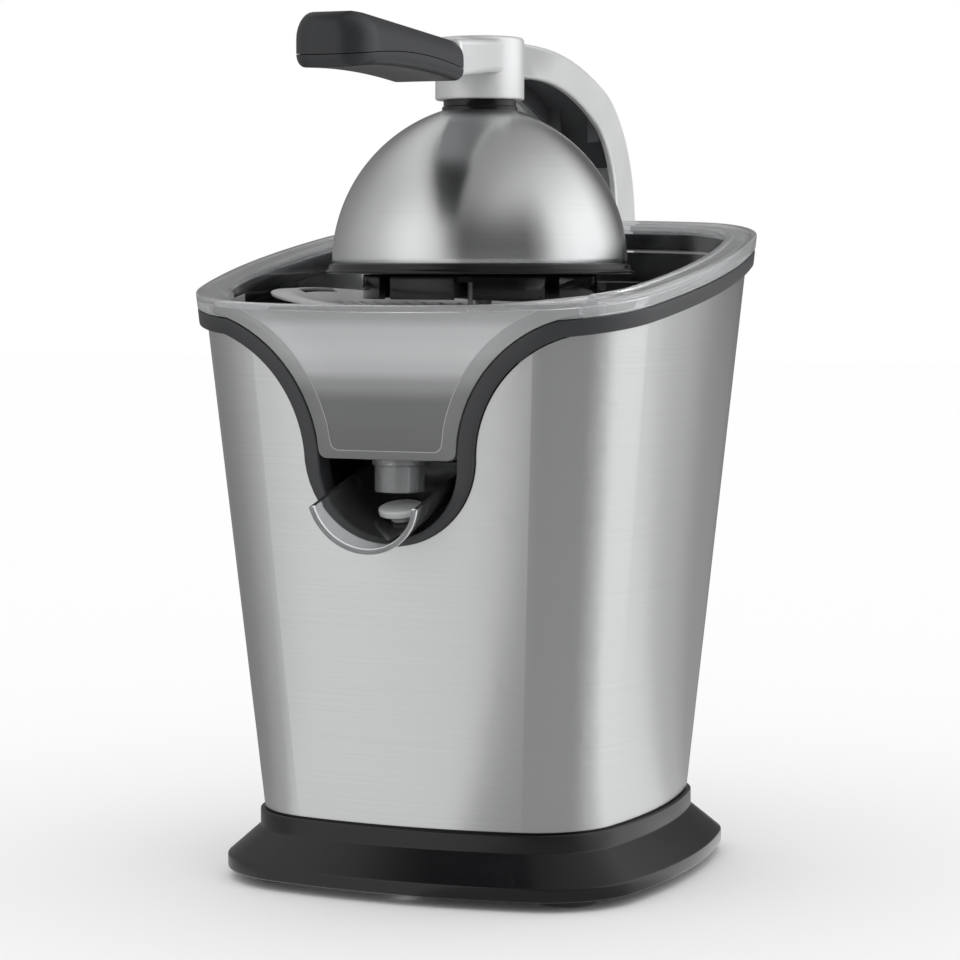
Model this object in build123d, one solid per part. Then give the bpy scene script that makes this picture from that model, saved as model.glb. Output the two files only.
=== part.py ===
from build123d import *

import math
import os

# Electric citrus juicer with a hinged press arm, in millimetres.
# The reamer axis stands at x = y = 0, the bench is z = 0 and the spout faces -Y.

# Gaps and cutting sizes shared by all pieces
RUN_GAP = 0.05
SLIP_GAP = 0.2
SEAM_GAP = 0.3
OVERRUN = 6.0
SPAN = 700.0

# Tapered body: a bulged square that grows with height
SHELL_Z = 28.2
SHELL_HALF = 78.6
BODY_TOP_Z = 250.0
BODY_TOP_HALF = 100.8
SIDE_SHARE = 3.0
CORNER_SHARE = 0.44
STEEL_T = 1.2

# Sloping rim: clear rim on top, black trim under it
RIM_Z = 246.7
RIM_SLOPE_DEG = 9.6
RIM_H = 6.5
RIM_PROUD = 2.9
TRIM_H = 6.5
TRIM_PROUD = 3.0
TRIM_DEPTH = 6.0

# U-shaped opening for the spout, with flared shoulders
U_HALF = 35.0
U_BOTTOM = 138.0
U_EDGE = 75.0
FLARE_R = 50.5
FLARE_Z = 170.0
TRIM_W = 6.5
TRIM_SILL = 3.0

# Plinth and underside
FOOT_H = 4.0
FOOT_R = 13.0
FOOT_PLACE = 60.0
FOOT_ROUND = 1.2
PLINTH_HALF = 92.0
PLINTH_BAND_Z = 9.4
COLLAR_PROUD = 1.6
COLLAR_Z = 20.3
COLLAR_TOP_Z = 27.4
LEDGE_STEP = 0.6
LEDGE_W = 10.0
PLINTH_WALL = 3.0
BASE_T = 3.0
BASE_INSET = 4.0
VENT_L = 44.0
VENT_W = 3.5
VENT_PITCH = 9.0
VENT_COUNT = 5
BASE_SCREW_PLACE = 78.0
BASE_BOSS_R = 7.0
SCREW_R = 2.0
SCREW_HEAD_R = 3.8
SCREW_HEAD_H = 2.0
SCREW_L = 10.0

# Inner housing and its deck
HOUSING_T = 2.5
DECK_Z = 188.0
DECK_T = 4.0

# Recess behind the spout
RECESS_BACK_Y = -52.0
RECESS_WALL = 2.5

# Clear juice bowl
BOWL_WALL = 2.5
BOWL_GAP = 0.5
PANE_PROUD = 2.6
BASIN_INSET = 15.0
BASIN_LEDGE_Z = 229.0
CHUTE_Z = 171.5
CHUTE_BACK_Y = -60.0
CHIMNEY_R = 13.1
CHIMNEY_TOP_Z = 226.0
NOZZLE_Y = -82.0
NOZZLE_R = 9.6
NOZZLE_WALL = 2.0
NOZZLE_Z = 158.5

# Strainer plate
STRAINER_LAP = 5.0
STRAINER_T = 0.8
STRAINER_LIP = 2.6
STRAINER_HOLE_R = 14.0
SLOT_W = 2.2
SLOT_MARGIN = 4.0
SLOT_COUNT = 48

# Reamer with its slotted skirt
REAMER_LIFT = 3.8
SKIRT_R = 47.5
SKIRT_H = 7.6
SKIRT_WALL = 3.0
SKIRT_SLOT_W = 7.5
SKIRT_SLOT_H = 4.4
SKIRT_SLOT_COUNT = 8
CONE_R = 37.0
CONE_H = 45.0
CONE_TIP_R = 4.0
CONE_WALL = 3.0
CONE_BULGE_R_SHARE = 0.72
CONE_BULGE_Z_SHARE = 0.55
HOLLOW_SHARE = 0.78
RIB_COUNT = 10
RIB_T = 2.6
RIB_PROUD = 2.6
RIB_DROP = 3.0
HUB_R = 9.0
SOCKET_DEPTH = 36.0

# Drive spindle, bush and seal
SPINDLE_R = 5.0
SPINDLE_FLAT = 8.0
SPINDLE_TIP_Z = 132.0
SPINDLE_TURNED_Z = 176.0
PRESS_TRAVEL = 3.0
COLLAR_R = 8.4
COLLAR_T = 3.0
TOWER_R = 9.8
TOWER_TOP_Z = 221.0
BUSH_R = 7.2
BUSH_L = 20.0
SEAL_T = 5.0

# Reduction gearbox
MODULE = 1.25
PRESSURE_DEG = 20.0
ADDENDUM_SHARE = 0.85
DEDENDUM_SHARE = 1.1
BACKLASH = 0.16
DRIVE_TEETH = 44
IDLER_PINION_TEETH = 12
IDLER_TEETH = 40
MOTOR_TEETH = 10
MOTOR_BEARING_DEG = -21.0
DRIVE_GEAR_T = 8.0
DRIVE_GEAR_Z = 150.0
DRIVE_HUB_R = 10.0
DRIVE_SHOULDER_R = 13.0
SPRING_SEAT_H = 2.0
IDLER_PINION_T = 10.0
IDLER_GEAR_T = 6.0
IDLER_GEAR_Z = 163.0
IDLER_SLEEVE_R = 6.0
AXLE_R = 3.0
GEARBOX_W = 82.0
GEARBOX_D = 104.0
GEARBOX_ROUND = 10.0
GEARBOX_WALL = 2.5
GEARBOX_X = 6.0
GEARBOX_Y = 16.0
GEARBOX_TOP_T = 4.0
GEARBOX_FLOOR_Z = 142.0
GEARBOX_FLOOR_T = 4.0
GEARBOX_SCREW_INSET = 7.0
GEARBOX_BOSS_R = 5.0

# Spindle return spring
SPRING_R = 7.1
SPRING_WIRE_R = 0.7
SPRING_TURNS = 5
SPRING_TURN_STEPS = 36

# Motor
MOTOR_R = 31.0
MOTOR_H = 68.0
MOTOR_WALL = 2.0
MOTOR_PLATE_T = 3.0
MOTOR_TOP_Z = 130.0
MOTOR_BOSS_R = 9.0
MOTOR_SHAFT_R = 3.0
MOTOR_PINION_T = 10.0
MOTOR_WINDOW_W = 14.0
MOTOR_WINDOW_H = 30.0
MOTOR_WINDOW_COUNT = 6
STATOR_R = 17.2
STATOR_L = 44.0
ROTOR_R = 16.6
ROTOR_L = 40.0
FAN_R = 27.0
FAN_HUB_R = 8.0
FAN_T = 9.0
FAN_BLADE_T = 1.6
FAN_BLADE_COUNT = 9
FAN_DROP = 4.0

# Start switch under the spindle
SWITCH_W = 20.0
SWITCH_D = 12.0
SWITCH_H = 16.0
SWITCH_X = -6.0
SWITCH_Y = -2.0
SWITCH_DROP = 10.0
SWITCH_LUG_T = 3.0
PLUNGER_R = 2.0
PLUNGER_L = 7.7

# Cord inlet at the back of the body
INLET_Z = 52.0
INLET_R = 7.0
INLET_FLANGE_R = 10.0
INLET_FLANGE_T = 2.2
INLET_BORE_R = 3.6
INLET_L = 9.0

# Press arm: a channel-section arch with a hub and a front bar
ARM_HALF = 16.0
ARM_WALL = 3.0
ARM_DROP = 1.9
ARM_BACK_Y = 148.0
ARM_FRONT_Y = 122.0
ARM_FLAT_Y = 25.0
CROWN_R = 250.0
SHOULDER_R = 64.0
ARM_DEPTH = 13.8
UNDER_CROWN_R = 180.0
UNDER_SHOULDER_R = 40.0
PRESS_HUB_R = 18.0
PRESS_HUB_H = 25.0
PRESS_HUB_ROUND = 1.6
BAR_HALF = 14.5
BAR_END_Y = -56.0
BAR_DROP = 2.5
BAR_DEPTH = 14.8
BAR_ROOT_DEPTH = 13.0
TANG_HALF = 8.0
TANG_H = 6.0
TANG_L = 52.0
TANG_DROP = 8.0
CAP_R = 12.0
CAP_T = 2.4
CAP_CROWN = 0.6

# Ribbed liner inside the arch
LINER_T = 2.6
LINER_RIB_T = 2.2
LINER_RIB_COUNT = 6
LINER_START_Y = 24.0
LINER_END_DEG = 62.0
LINER_SET_BACK = 2.0

# Grip
GRIP_HALF = 16.0
GRIP_TIP_Y = -148.0
GRIP_TIP_R = 12.0
GRIP_TIP_RISE = 5.2
GRIP_DEPTH = 16.0
GRIP_WAIST_DEPTH = 14.2
GRIP_TIP_DEPTH = 15.8
GRIP_TOP_ROUND = 8.0
GRIP_BELLY_ROUND = 4.0
SEAM_ROOT_DEPTH = 11.4
SEAM_WAIST_DEPTH = 8.4
SEAM_TIP_DEPTH = 11.2
GRIP_SCREW_SHARES = (0.22, 0.44)
GRIP_SCREW_L = 13.0

# Press dome, its liner cup and its stud
DOME_R = 60.0
DOME_Z = 245.5
DOME_T = 1.0
DOME_NECK_R = 16.4
DOME_COLLAR_H = 4.4
DOME_NECK_H = 1.5
DOME_SHOULDER_R = 25.0
CUP_GAP = 0.3
CUP_T = 2.4
RING_LIP = 2.8
RING_H = 4.0
RING_W = 8.0
CUP_RIB_COUNT = 8
CUP_RIB_T = 2.4
CUP_RIB_H = 3.0
STUD_R = 4.0
STUD_COVER = 6.4
NUT_R = 7.5
NUT_T = 5.0

# Rear hinge
PIVOT_Z = 240.0
KNUCKLE_R = 9.0
KNUCKLE_HALF = 12.4
PIN_R = 4.0
PIN_HEAD_R = 6.5
PIN_HEAD_T = 2.0
HINGE_BUSH_R = 5.5
HINGE_BUSH_L = 9.0
NECK_HALF_H = 7.0
GUSSET_Z = 202.0
PAD_HALF = 26.0
PAD_LOW_Z = 192.0
PAD_HIGH_Z = 246.0
PAD_T = 5.0
PAD_SCREW_X = 19.0
PAD_SCREW_LOW_Z = 200.0
PAD_SCREW_HIGH_Z = 236.0
HEEL_CLEAR = 1.0

# Tilting spout and its drip plug, drawn level and then tipped open
SPOUT_PIVOT_Y = -60.0
SPOUT_PIVOT_Z = 160.0
SPOUT_OPEN_DEG = 14.0
SPOUT_R = 22.2
SPOUT_WALL = 1.7
SPOUT_TOP_Z = 168.5
SPOUT_BOTTOM_Z = 150.5
SPOUT_BACK_Y = -56.5
SPOUT_TIP_Y = -117.0
SPOUT_TIP_RAKE = 4.0
TRUNNION_R = 2.5
TRUNNION_BITE = 1.6
TRUNNION_PAD_R = 5.0
PLUG_R = 8.7
PLUG_T = 2.6
PLUG_STEM_R = 4.2

# Places worked out from the sizes above
TAPER = (BODY_TOP_HALF - SHELL_HALF) / (BODY_TOP_Z - SHELL_Z)
TAPER_DEG = math.degrees(math.atan(TAPER))
COLLAR_HALF = SHELL_HALF + COLLAR_PROUD
LEDGE_HALF = SHELL_HALF - LEDGE_STEP
PLINTH_OPEN_HALF = LEDGE_HALF - LEDGE_W
STEEL_DROP = RIM_H + TRIM_H
FLARE_X = U_HALF + FLARE_R
DECK_TOP_Z = DECK_Z + DECK_T
HOUSING_INSET = STEEL_T + SLIP_GAP
BOWL_INSET = TRIM_DEPTH + BOWL_GAP
BOWL_FLOOR_Z = DECK_TOP_Z + BOWL_WALL
BASIN_R = SHELL_HALF + TAPER * (DECK_TOP_Z - SHELL_Z) - BASIN_INSET
STRAINER_R = BASIN_R + STRAINER_LAP
SLOT_INNER_R = SKIRT_R + SLOT_MARGIN
SLOT_OUTER_R = BASIN_R - SLOT_MARGIN
REAMER_Z = BASIN_LEDGE_Z + STRAINER_T + REAMER_LIFT
CONE_Z = REAMER_Z + SKIRT_H
SPINDLE_TOP_Z = REAMER_Z + SOCKET_DEPTH
GEARBOX_CEILING_Z = DECK_Z - GEARBOX_TOP_T
SPRING_SEAT_Z = DRIVE_GEAR_Z + DRIVE_GEAR_T + SPRING_SEAT_H
COLLAR_LOW_Z = GEARBOX_CEILING_Z - SEAM_GAP - COLLAR_T
GEARBOX_BASE_Z = GEARBOX_FLOOR_Z - GEARBOX_FLOOR_T
IDLER_REACH = MODULE * (DRIVE_TEETH + IDLER_PINION_TEETH) / 2
MOTOR_REACH = MODULE * (IDLER_TEETH + MOTOR_TEETH) / 2
IDLER_Y = IDLER_REACH
MOTOR_X = MOTOR_REACH * math.cos(math.radians(MOTOR_BEARING_DEG))
MOTOR_Y = IDLER_Y + MOTOR_REACH * math.sin(math.radians(MOTOR_BEARING_DEG))
MOTOR_LOW_Z = MOTOR_TOP_Z - MOTOR_H
SWITCH_TOP_Z = GEARBOX_BASE_Z - SWITCH_DROP
DOME_TOP_Z = DOME_Z + DOME_R + DOME_NECK_H
CUP_R = DOME_R - DOME_T - CUP_GAP
RING_Z = DOME_Z - RING_H
RING_R = DOME_R + RING_LIP
RING_INNER_R = RING_R - RING_W
PRESS_HUB_Z = DOME_TOP_Z + DOME_COLLAR_H
PRESS_HUB_TOP_Z = PRESS_HUB_Z + PRESS_HUB_H
STUD_TOP_Z = PRESS_HUB_TOP_Z - STUD_COVER
ARM_TOP_Z = PRESS_HUB_TOP_Z - ARM_DROP
ARM_UNDER_Z = ARM_TOP_Z - ARM_DEPTH
BAR_TOP_Z = ARM_TOP_Z - BAR_DROP
BAR_BOTTOM_Z = BAR_TOP_Z - BAR_DEPTH
BAR_ROOT_Z = ARM_TOP_Z - BAR_ROOT_DEPTH
TANG_Z = BAR_TOP_Z - TANG_DROP
GRIP_TOP_Z = BAR_TOP_Z - SLIP_GAP
GRIP_TIP_TOP_Z = GRIP_TOP_Z + GRIP_TIP_RISE
GRIP_ROOT_Z = GRIP_TOP_Z - GRIP_DEPTH
GRIP_WAIST_Z = GRIP_TOP_Z - GRIP_WAIST_DEPTH
GRIP_TIP_Z = GRIP_TOP_Z - GRIP_TIP_DEPTH
SEAM_ROOT_Z = GRIP_TOP_Z - SEAM_ROOT_DEPTH
SEAM_WAIST_Z = GRIP_TOP_Z - SEAM_WAIST_DEPTH
SEAM_TIP_Z = GRIP_TOP_Z - SEAM_TIP_DEPTH
PIVOT_Y = (ARM_BACK_Y + ARM_FRONT_Y) / 2
ARM_END_R = (ARM_BACK_Y - ARM_FRONT_Y) / 2
PLUG_TOP_Z = NOZZLE_Z - SEAM_GAP

LOW = (Align.CENTER, Align.CENTER, Align.MIN)


def half_at(z):
    """Half width of the steel body at a height."""
    return SHELL_HALF + TAPER * (z - SHELL_Z)


def plan_face(half, z):
    """Bulged square of the given half width, four side arcs and four tangent corner arcs."""
    side_r = SIDE_SHARE * half
    corner_r = CORNER_SHARE * half
    side_centre = half - side_r
    reach = side_r - corner_r
    corner_c = (side_centre + math.sqrt(2 * reach**2 - side_centre**2)) / 2
    toward = Vector(corner_c - side_centre, corner_c).normalized() * side_r
    meet = (side_centre + toward.X, toward.Y)
    corner_mid = corner_c + corner_r * math.sqrt(0.5)
    side = ThreePointArc((meet[0], -meet[1]), (half, 0), meet)
    corner = ThreePointArc(meet, (corner_mid, corner_mid), (meet[1], meet[0]))
    edges = [Rot(0, 0, turn) * edge for turn in (0, 90, 180, 270) for edge in (side, corner)]
    return Pos(0, 0, z) * make_face(edges)


def tapered(low_z, high_z, inset):
    """Solid slice of the body between two heights, drawn in from the steel by an inset."""
    return loft([plan_face(half_at(z) - inset, z) for z in (low_z, high_z)], ruled=True)


def body_wall(low_z, high_z, outer_inset, inner_inset):
    """Tapered tube between two insets."""
    core = tapered(low_z - OVERRUN, high_z + OVERRUN, inner_inset)
    return tapered(low_z, high_z, outer_inset) - core


def above(drop):
    """Everything above a plane that lies under the sloping rim by a drop."""
    block = Pos(0, 0, -drop) * Box(SPAN, SPAN, SPAN, align=LOW)
    return Pos(0, 0, RIM_Z) * Rot(RIM_SLOPE_DEG, 0, 0) * block


def flare_angle(inward):
    """Degrees of flare arc between its upright foot and the shoulder edge."""
    return math.degrees(math.acos((FLARE_X - U_EDGE) / (FLARE_R + inward)))


def throat(inward, sill, back_y):
    """Prism of the U opening, drawn in by a margin, from in front of the body to a depth."""
    radius = FLARE_R + inward
    half = U_HALF - inward
    sweep_deg = flare_angle(inward)
    edge_z = FLARE_Z + radius * math.sin(math.radians(sweep_deg))
    top_z = BODY_TOP_Z + SPAN / 4
    outline = [
        ThreePointArc((-half, FLARE_Z), (0, U_BOTTOM + sill), (half, FLARE_Z)),
        CenterArc((FLARE_X, FLARE_Z), radius, 180 - sweep_deg, sweep_deg),
        Polyline((U_EDGE, edge_z), (U_EDGE, top_z), (-U_EDGE, top_z), (-U_EDGE, edge_z)),
        CenterArc((-FLARE_X, FLARE_Z), radius, 0, sweep_deg),
    ]
    face = Pos(0, back_y, 0) * (Plane.XZ * make_face(outline))
    return extrude(face, amount=SPAN / 4, dir=(0, -1, 0))


def chute_block(inward, bottom_z, back_y, inset):
    """Flat-bottomed block in the U opening, faced with the curve of the body."""
    radius = FLARE_R + inward
    start_deg = math.degrees(math.asin((bottom_z - FLARE_Z) / radius))
    sweep_deg = flare_angle(inward)
    foot_x = FLARE_X - radius * math.cos(math.radians(start_deg))
    edge_z = FLARE_Z + radius * math.sin(math.radians(sweep_deg))
    top_z = BODY_TOP_Z + OVERRUN
    arc_deg = sweep_deg - start_deg
    outline = [
        Line((-foot_x, bottom_z), (foot_x, bottom_z)),
        CenterArc((FLARE_X, FLARE_Z), radius, 180 - sweep_deg, arc_deg),
        Polyline((U_EDGE, edge_z), (U_EDGE, top_z), (-U_EDGE, top_z), (-U_EDGE, edge_z)),
        CenterArc((-FLARE_X, FLARE_Z), radius, start_deg, arc_deg),
    ]
    face = Pos(0, back_y, 0) * (Plane.XZ * make_face(outline))
    prism = extrude(face, amount=SPAN / 4, dir=(0, -1, 0))
    return prism & tapered(bottom_z - OVERRUN, top_z + OVERRUN, inset)


def turned(points):
    """Solid of revolution about the reamer axis from a closed outline of radius and height."""
    return revolve(Plane.XZ * make_face(Polyline(*points, close=True)), Axis.Z)


def tube(outer_r, inner_r, low_z, high_z):
    """Upright ring between two heights."""
    bore = Pos(0, 0, low_z - OVERRUN) * Cylinder(inner_r, high_z - low_z + 2 * OVERRUN, align=LOW)
    return rod(outer_r, low_z, high_z) - bore


def rod(radius, low_z, high_z):
    """Upright cylinder between two heights."""
    return Pos(0, 0, low_z) * Cylinder(radius, high_z - low_z, align=LOW)


def across(radius, half_length, y, z):
    """Cylinder along X, centred on the mid-plane."""
    return Pos(0, y, z) * Rot(0, 90, 0) * Cylinder(radius, 2 * half_length)


def ring_of(shape, count):
    """Copies of a shape turned evenly about the reamer axis."""
    return [Rot(0, 0, 360 * k / count) * shape for k in range(count)]


def screw(length, head_down):
    """Pan-head screw whose head seat is at z = 0 and whose shank points up or down."""
    shank = rod(SCREW_R, 0, length)
    head = rod(SCREW_HEAD_R, -SCREW_HEAD_H, 0)
    body = shank + head
    return body if head_down else Rot(180, 0, 0) * body


def screw_hole(length):
    """Clearance hole for the shank of a screw that points up from z = 0."""
    return rod(SCREW_R + SLIP_GAP / 2, -OVERRUN, length + SLIP_GAP)


# Base


def plinth_block(inset, top_z):
    """Stepped and sloping outer form of the plinth, drawn in by an inset."""
    sizes = [
        (PLINTH_HALF, FOOT_H),
        (PLINTH_HALF, PLINTH_BAND_Z),
        (COLLAR_HALF, COLLAR_Z),
        (COLLAR_HALF, top_z),
    ]
    return loft([plan_face(half - inset, z) for half, z in sizes], ruled=True)


def base_screw_places():
    """Screw positions at the middle of each side of the base."""
    return [Rot(0, 0, turn) * Pos(BASE_SCREW_PLACE, 0, 0) for turn in (0, 90, 180, 270)]


def base_plinth():
    """Black flared base moulding with the ledge that carries the steel body."""
    form = plinth_block(0, COLLAR_TOP_Z)
    form += loft([plan_face(LEDGE_HALF, z) for z in (COLLAR_Z, SHELL_Z)], ruled=True)
    hollow = plinth_block(PLINTH_WALL, COLLAR_TOP_Z - PLINTH_WALL)
    opening = loft([plan_face(PLINTH_OPEN_HALF, z) for z in (COLLAR_Z, SPAN / 4)], ruled=True)
    seat_half = PLINTH_HALF - BASE_INSET + SLIP_GAP
    seat = loft([plan_face(seat_half, z) for z in (0, FOOT_H + BASE_T)], ruled=True)
    ring = form - hollow - opening
    boss = rod(BASE_BOSS_R, FOOT_H, COLLAR_Z)
    ring += [place * boss for place in base_screw_places()]
    ring = (ring & form) - seat
    return ring - [place * Pos(0, 0, FOOT_H) * screw_hole(SCREW_L) for place in base_screw_places()]


def base_plate():
    """Bottom cover with cooling slots."""
    plate = loft([plan_face(PLINTH_HALF - BASE_INSET, z) for z in (FOOT_H, FOOT_H + BASE_T)], ruled=True)
    slot = extrude(SlotOverall(VENT_L, VENT_W), amount=FOOT_H + BASE_T + OVERRUN)
    first = -VENT_PITCH * (VENT_COUNT - 1) / 2
    plate -= [Pos(0, first + VENT_PITCH * k, 0) * slot for k in range(VENT_COUNT)]
    holes = [place * Pos(0, 0, FOOT_H) * screw_hole(SCREW_L) for place in base_screw_places()]
    sinks = [
        place * rod(SCREW_HEAD_R + SLIP_GAP, 0, FOOT_H + SCREW_HEAD_H) for place in base_screw_places()
    ]
    return plate - holes - sinks


def base_screws():
    """Screws that hold the bottom cover to the plinth."""
    lift = Pos(0, 0, FOOT_H + SCREW_HEAD_H)
    return [place * lift * screw(SCREW_L - SCREW_HEAD_H, True) for place in base_screw_places()]


def rubber_feet():
    """Four rubber feet with rounded lower edges."""
    foot = rod(FOOT_R, 0, FOOT_H)
    foot = fillet(foot.edges().sort_by(Axis.Z)[0], FOOT_ROUND)
    signs = (-FOOT_PLACE, FOOT_PLACE)
    return [Pos(x, y, 0) * foot for x in signs for y in signs]


# Body shells


def pad_screw_places():
    """Positions of the hinge bracket screws on the back of the body, shanks pointing forward."""
    places = []
    for x in (-PAD_SCREW_X, PAD_SCREW_X):
        for z in (PAD_SCREW_LOW_Z, PAD_SCREW_HIGH_Z):
            face_y = half_at(z) + SLIP_GAP + PAD_T
            places.append(Pos(x, face_y, z) * Rot(90, 0, 0))
    return places


def inlet_place():
    """Frame of the cord inlet, normal to the back of the body."""
    return Pos(0, half_at(INLET_Z), INLET_Z) * Rot(-90 - TAPER_DEG, 0, 0)


def back_holes():
    """Holes through the back of the body for the bracket screws and the cord inlet."""
    holes = [place * screw_hole(SCREW_L + PAD_T) for place in pad_screw_places()]
    inlet = inlet_place() * Pos(0, 0, -INLET_L) * Cylinder(INLET_R + SLIP_GAP, 2 * INLET_L, align=LOW)
    return [*holes, inlet]


def body_shell():
    """Brushed steel wrap, open at the top and cut out for the spout."""
    wall = body_wall(SHELL_Z, BODY_TOP_Z + OVERRUN, 0, STEEL_T)
    return wall - above(STEEL_DROP) - throat(0, 0, RECESS_BACK_Y) - back_holes()


def inner_housing():
    """Black liner wall behind the steel."""
    wall = body_wall(SHELL_Z, BODY_TOP_Z + OVERRUN, HOUSING_INSET, HOUSING_INSET + HOUSING_T)
    return wall - above(STEEL_DROP) - throat(0, 0, RECESS_BACK_Y) - back_holes()


def bowl_deck():
    """Black deck across the liner that carries the bowl and the gearbox."""
    deck = tapered(DECK_Z, DECK_TOP_Z, HOUSING_INSET + HOUSING_T)
    recess = throat(TRIM_W - RECESS_WALL - SLIP_GAP, TRIM_SILL - RECESS_WALL, RECESS_BACK_Y + RECESS_WALL)
    tower_hole = rod(TOWER_R + SLIP_GAP, DECK_Z - OVERRUN, DECK_TOP_Z + OVERRUN)
    screws = [place * Pos(0, 0, DECK_Z) * screw_hole(SCREW_L) for place in gearbox_screw_places()]
    return deck - throat(0, 0, RECESS_BACK_Y - RECESS_WALL) - recess - tower_hole - screws


def top_trim():
    """Black trim band under the rim and round the spout opening."""
    low_z = U_BOTTOM - OVERRUN
    high_z = BODY_TOP_Z + 2 * OVERRUN
    band = body_wall(low_z, high_z, -TRIM_PROUD, TRIM_DEPTH)
    outside = (band & above(STEEL_DROP)) + (band & throat(0, 0, RECESS_BACK_Y))
    return outside - above(RIM_H) - throat(TRIM_W, TRIM_SILL, RECESS_BACK_Y)


def spout_recess():
    """Black pocket behind the spout opening, with sockets for the spout's trunnions."""
    outer = throat(TRIM_W - RECESS_WALL, TRIM_SILL - RECESS_WALL, RECESS_BACK_Y + RECESS_WALL)
    inner = throat(TRIM_W, TRIM_SILL, RECESS_BACK_Y)
    low_z = U_BOTTOM - OVERRUN
    within = tapered(low_z, DECK_Z, TRIM_DEPTH)
    pocket = (outer & within) - inner
    return pocket - across(TRUNNION_R + RUN_GAP, SPAN / 4, SPOUT_PIVOT_Y, SPOUT_PIVOT_Z)


# Juice path


def bowl_form():
    """Clear bowl: sloping rim, square upper basin, round lower basin, front chute and nozzle."""
    high_z = BODY_TOP_Z + 3 * OVERRUN
    low_z = CHUTE_Z
    rim = tapered(low_z, high_z, -RIM_PROUD) & above(RIM_H)
    gutter = body_wall(low_z, high_z, BOWL_WALL - RIM_PROUD, BOWL_INSET)
    gutter = (gutter & above(STEEL_DROP)) - above(BOWL_WALL)
    ledge_low_z = BASIN_LEDGE_Z - BOWL_WALL
    inward = TRIM_W + BOWL_GAP
    outside = rim - gutter
    outside += tapered(ledge_low_z, high_z, BOWL_INSET)
    outside += rod(BASIN_R + BOWL_WALL, DECK_TOP_Z, BASIN_LEDGE_Z)
    outside += chute_block(inward, CHUTE_Z, CHUTE_BACK_Y, -PANE_PROUD)
    bowl = outside - above(0)
    bowl -= tapered(BASIN_LEDGE_Z, high_z, BOWL_INSET + BOWL_WALL)
    bowl -= rod(BASIN_R, BOWL_FLOOR_Z, high_z)
    inner_back_y = CHUTE_BACK_Y - BOWL_WALL
    bowl -= chute_block(inward + BOWL_WALL, CHUTE_Z + BOWL_WALL, inner_back_y, BOWL_WALL - PANE_PROUD) - rim
    bowl += rod(CHIMNEY_R, DECK_TOP_Z, CHIMNEY_TOP_Z)
    bowl -= rod(CHIMNEY_R - BOWL_WALL, DECK_TOP_Z - OVERRUN, high_z)
    nozzle = rod(NOZZLE_R, NOZZLE_Z, CHUTE_Z + BOWL_WALL)
    outlet = rod(NOZZLE_R - NOZZLE_WALL, NOZZLE_Z - OVERRUN, CHUTE_Z + BOWL_WALL + OVERRUN)
    place = Pos(0, NOZZLE_Y, 0)
    return bowl + place * nozzle - place * outlet


def chute_zone():
    """Room of the front chute and its nozzle, under the rim."""
    zone = chute_block(TRIM_W + BOWL_GAP, CHUTE_Z, CHUTE_BACK_Y, -PANE_PROUD) - above(RIM_H)
    return zone + Pos(0, NOZZLE_Y, 0) * rod(NOZZLE_R, NOZZLE_Z, CHUTE_Z)


def basin_zone():
    """Room of the round lower basin, under the ledge and behind the chute."""
    chute = chute_block(TRIM_W + BOWL_GAP, CHUTE_Z, CHUTE_BACK_Y, -PANE_PROUD)
    return rod(BASIN_R + BOWL_WALL, DECK_TOP_Z, BASIN_LEDGE_Z - BOWL_WALL) - chute


def juice_bowl():
    """Upper part of the clear bowl: the sloping rim, the square basin and its ledge."""
    return bowl_form() - chute_zone() - basin_zone()


def bowl_basin():
    """Round lower part of the clear bowl with the chimney for the spindle."""
    return bowl_form() & basin_zone()


def bowl_chute():
    """Front part of the clear bowl: the pane, the chute and the nozzle."""
    return bowl_form() & chute_zone()


def strainer():
    """Steel strainer plate with radial slots and a turned-up lip."""
    plate = tube(STRAINER_R, STRAINER_HOLE_R, BASIN_LEDGE_Z, BASIN_LEDGE_Z + STRAINER_T)
    plate += tube(STRAINER_R, STRAINER_R - STRAINER_T, BASIN_LEDGE_Z, BASIN_LEDGE_Z + STRAINER_LIP)
    slot_l = SLOT_OUTER_R - SLOT_INNER_R
    slot_mid = (SLOT_OUTER_R + SLOT_INNER_R) / 2
    slot = Pos(slot_mid, 0, BASIN_LEDGE_Z) * Box(slot_l, SLOT_W, 2 * OVERRUN)
    return plate - ring_of(slot, SLOT_COUNT)


def cone_middle(push):
    """Point half way up the bulged flank of the reamer, pushed out by a distance."""
    return (CONE_R * CONE_BULGE_R_SHARE + push, CONE_Z + CONE_H * CONE_BULGE_Z_SHARE + push / 2)


def spindle_section(gap):
    """Round shaft with two drive flats."""
    return Circle(SPINDLE_R + gap) & Rectangle(SPINDLE_FLAT + 2 * gap, 4 * SPINDLE_R)


def reamer_ribs():
    """Upright ribs that stand proud of the reamer's flank and fade out toward its tip."""
    foot_z = CONE_Z - SKIRT_WALL / 2
    head = (CONE_TIP_R, CONE_Z + CONE_H - RIB_DROP)
    outer_foot = (CONE_R + RIB_PROUD, foot_z)
    inner_foot = (CONE_R - CONE_WALL / 2, foot_z)
    edges = [
        ThreePointArc(outer_foot, cone_middle(RIB_PROUD), head),
        ThreePointArc(head, cone_middle(-CONE_WALL / 2), inner_foot),
        Line(inner_foot, outer_foot),
    ]
    rib = extrude(Plane.XZ * make_face(edges), amount=RIB_T / 2, both=True)
    return [Rot(0, 0, 180 / RIB_COUNT) * turned_rib for turned_rib in ring_of(rib, RIB_COUNT)]


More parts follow.
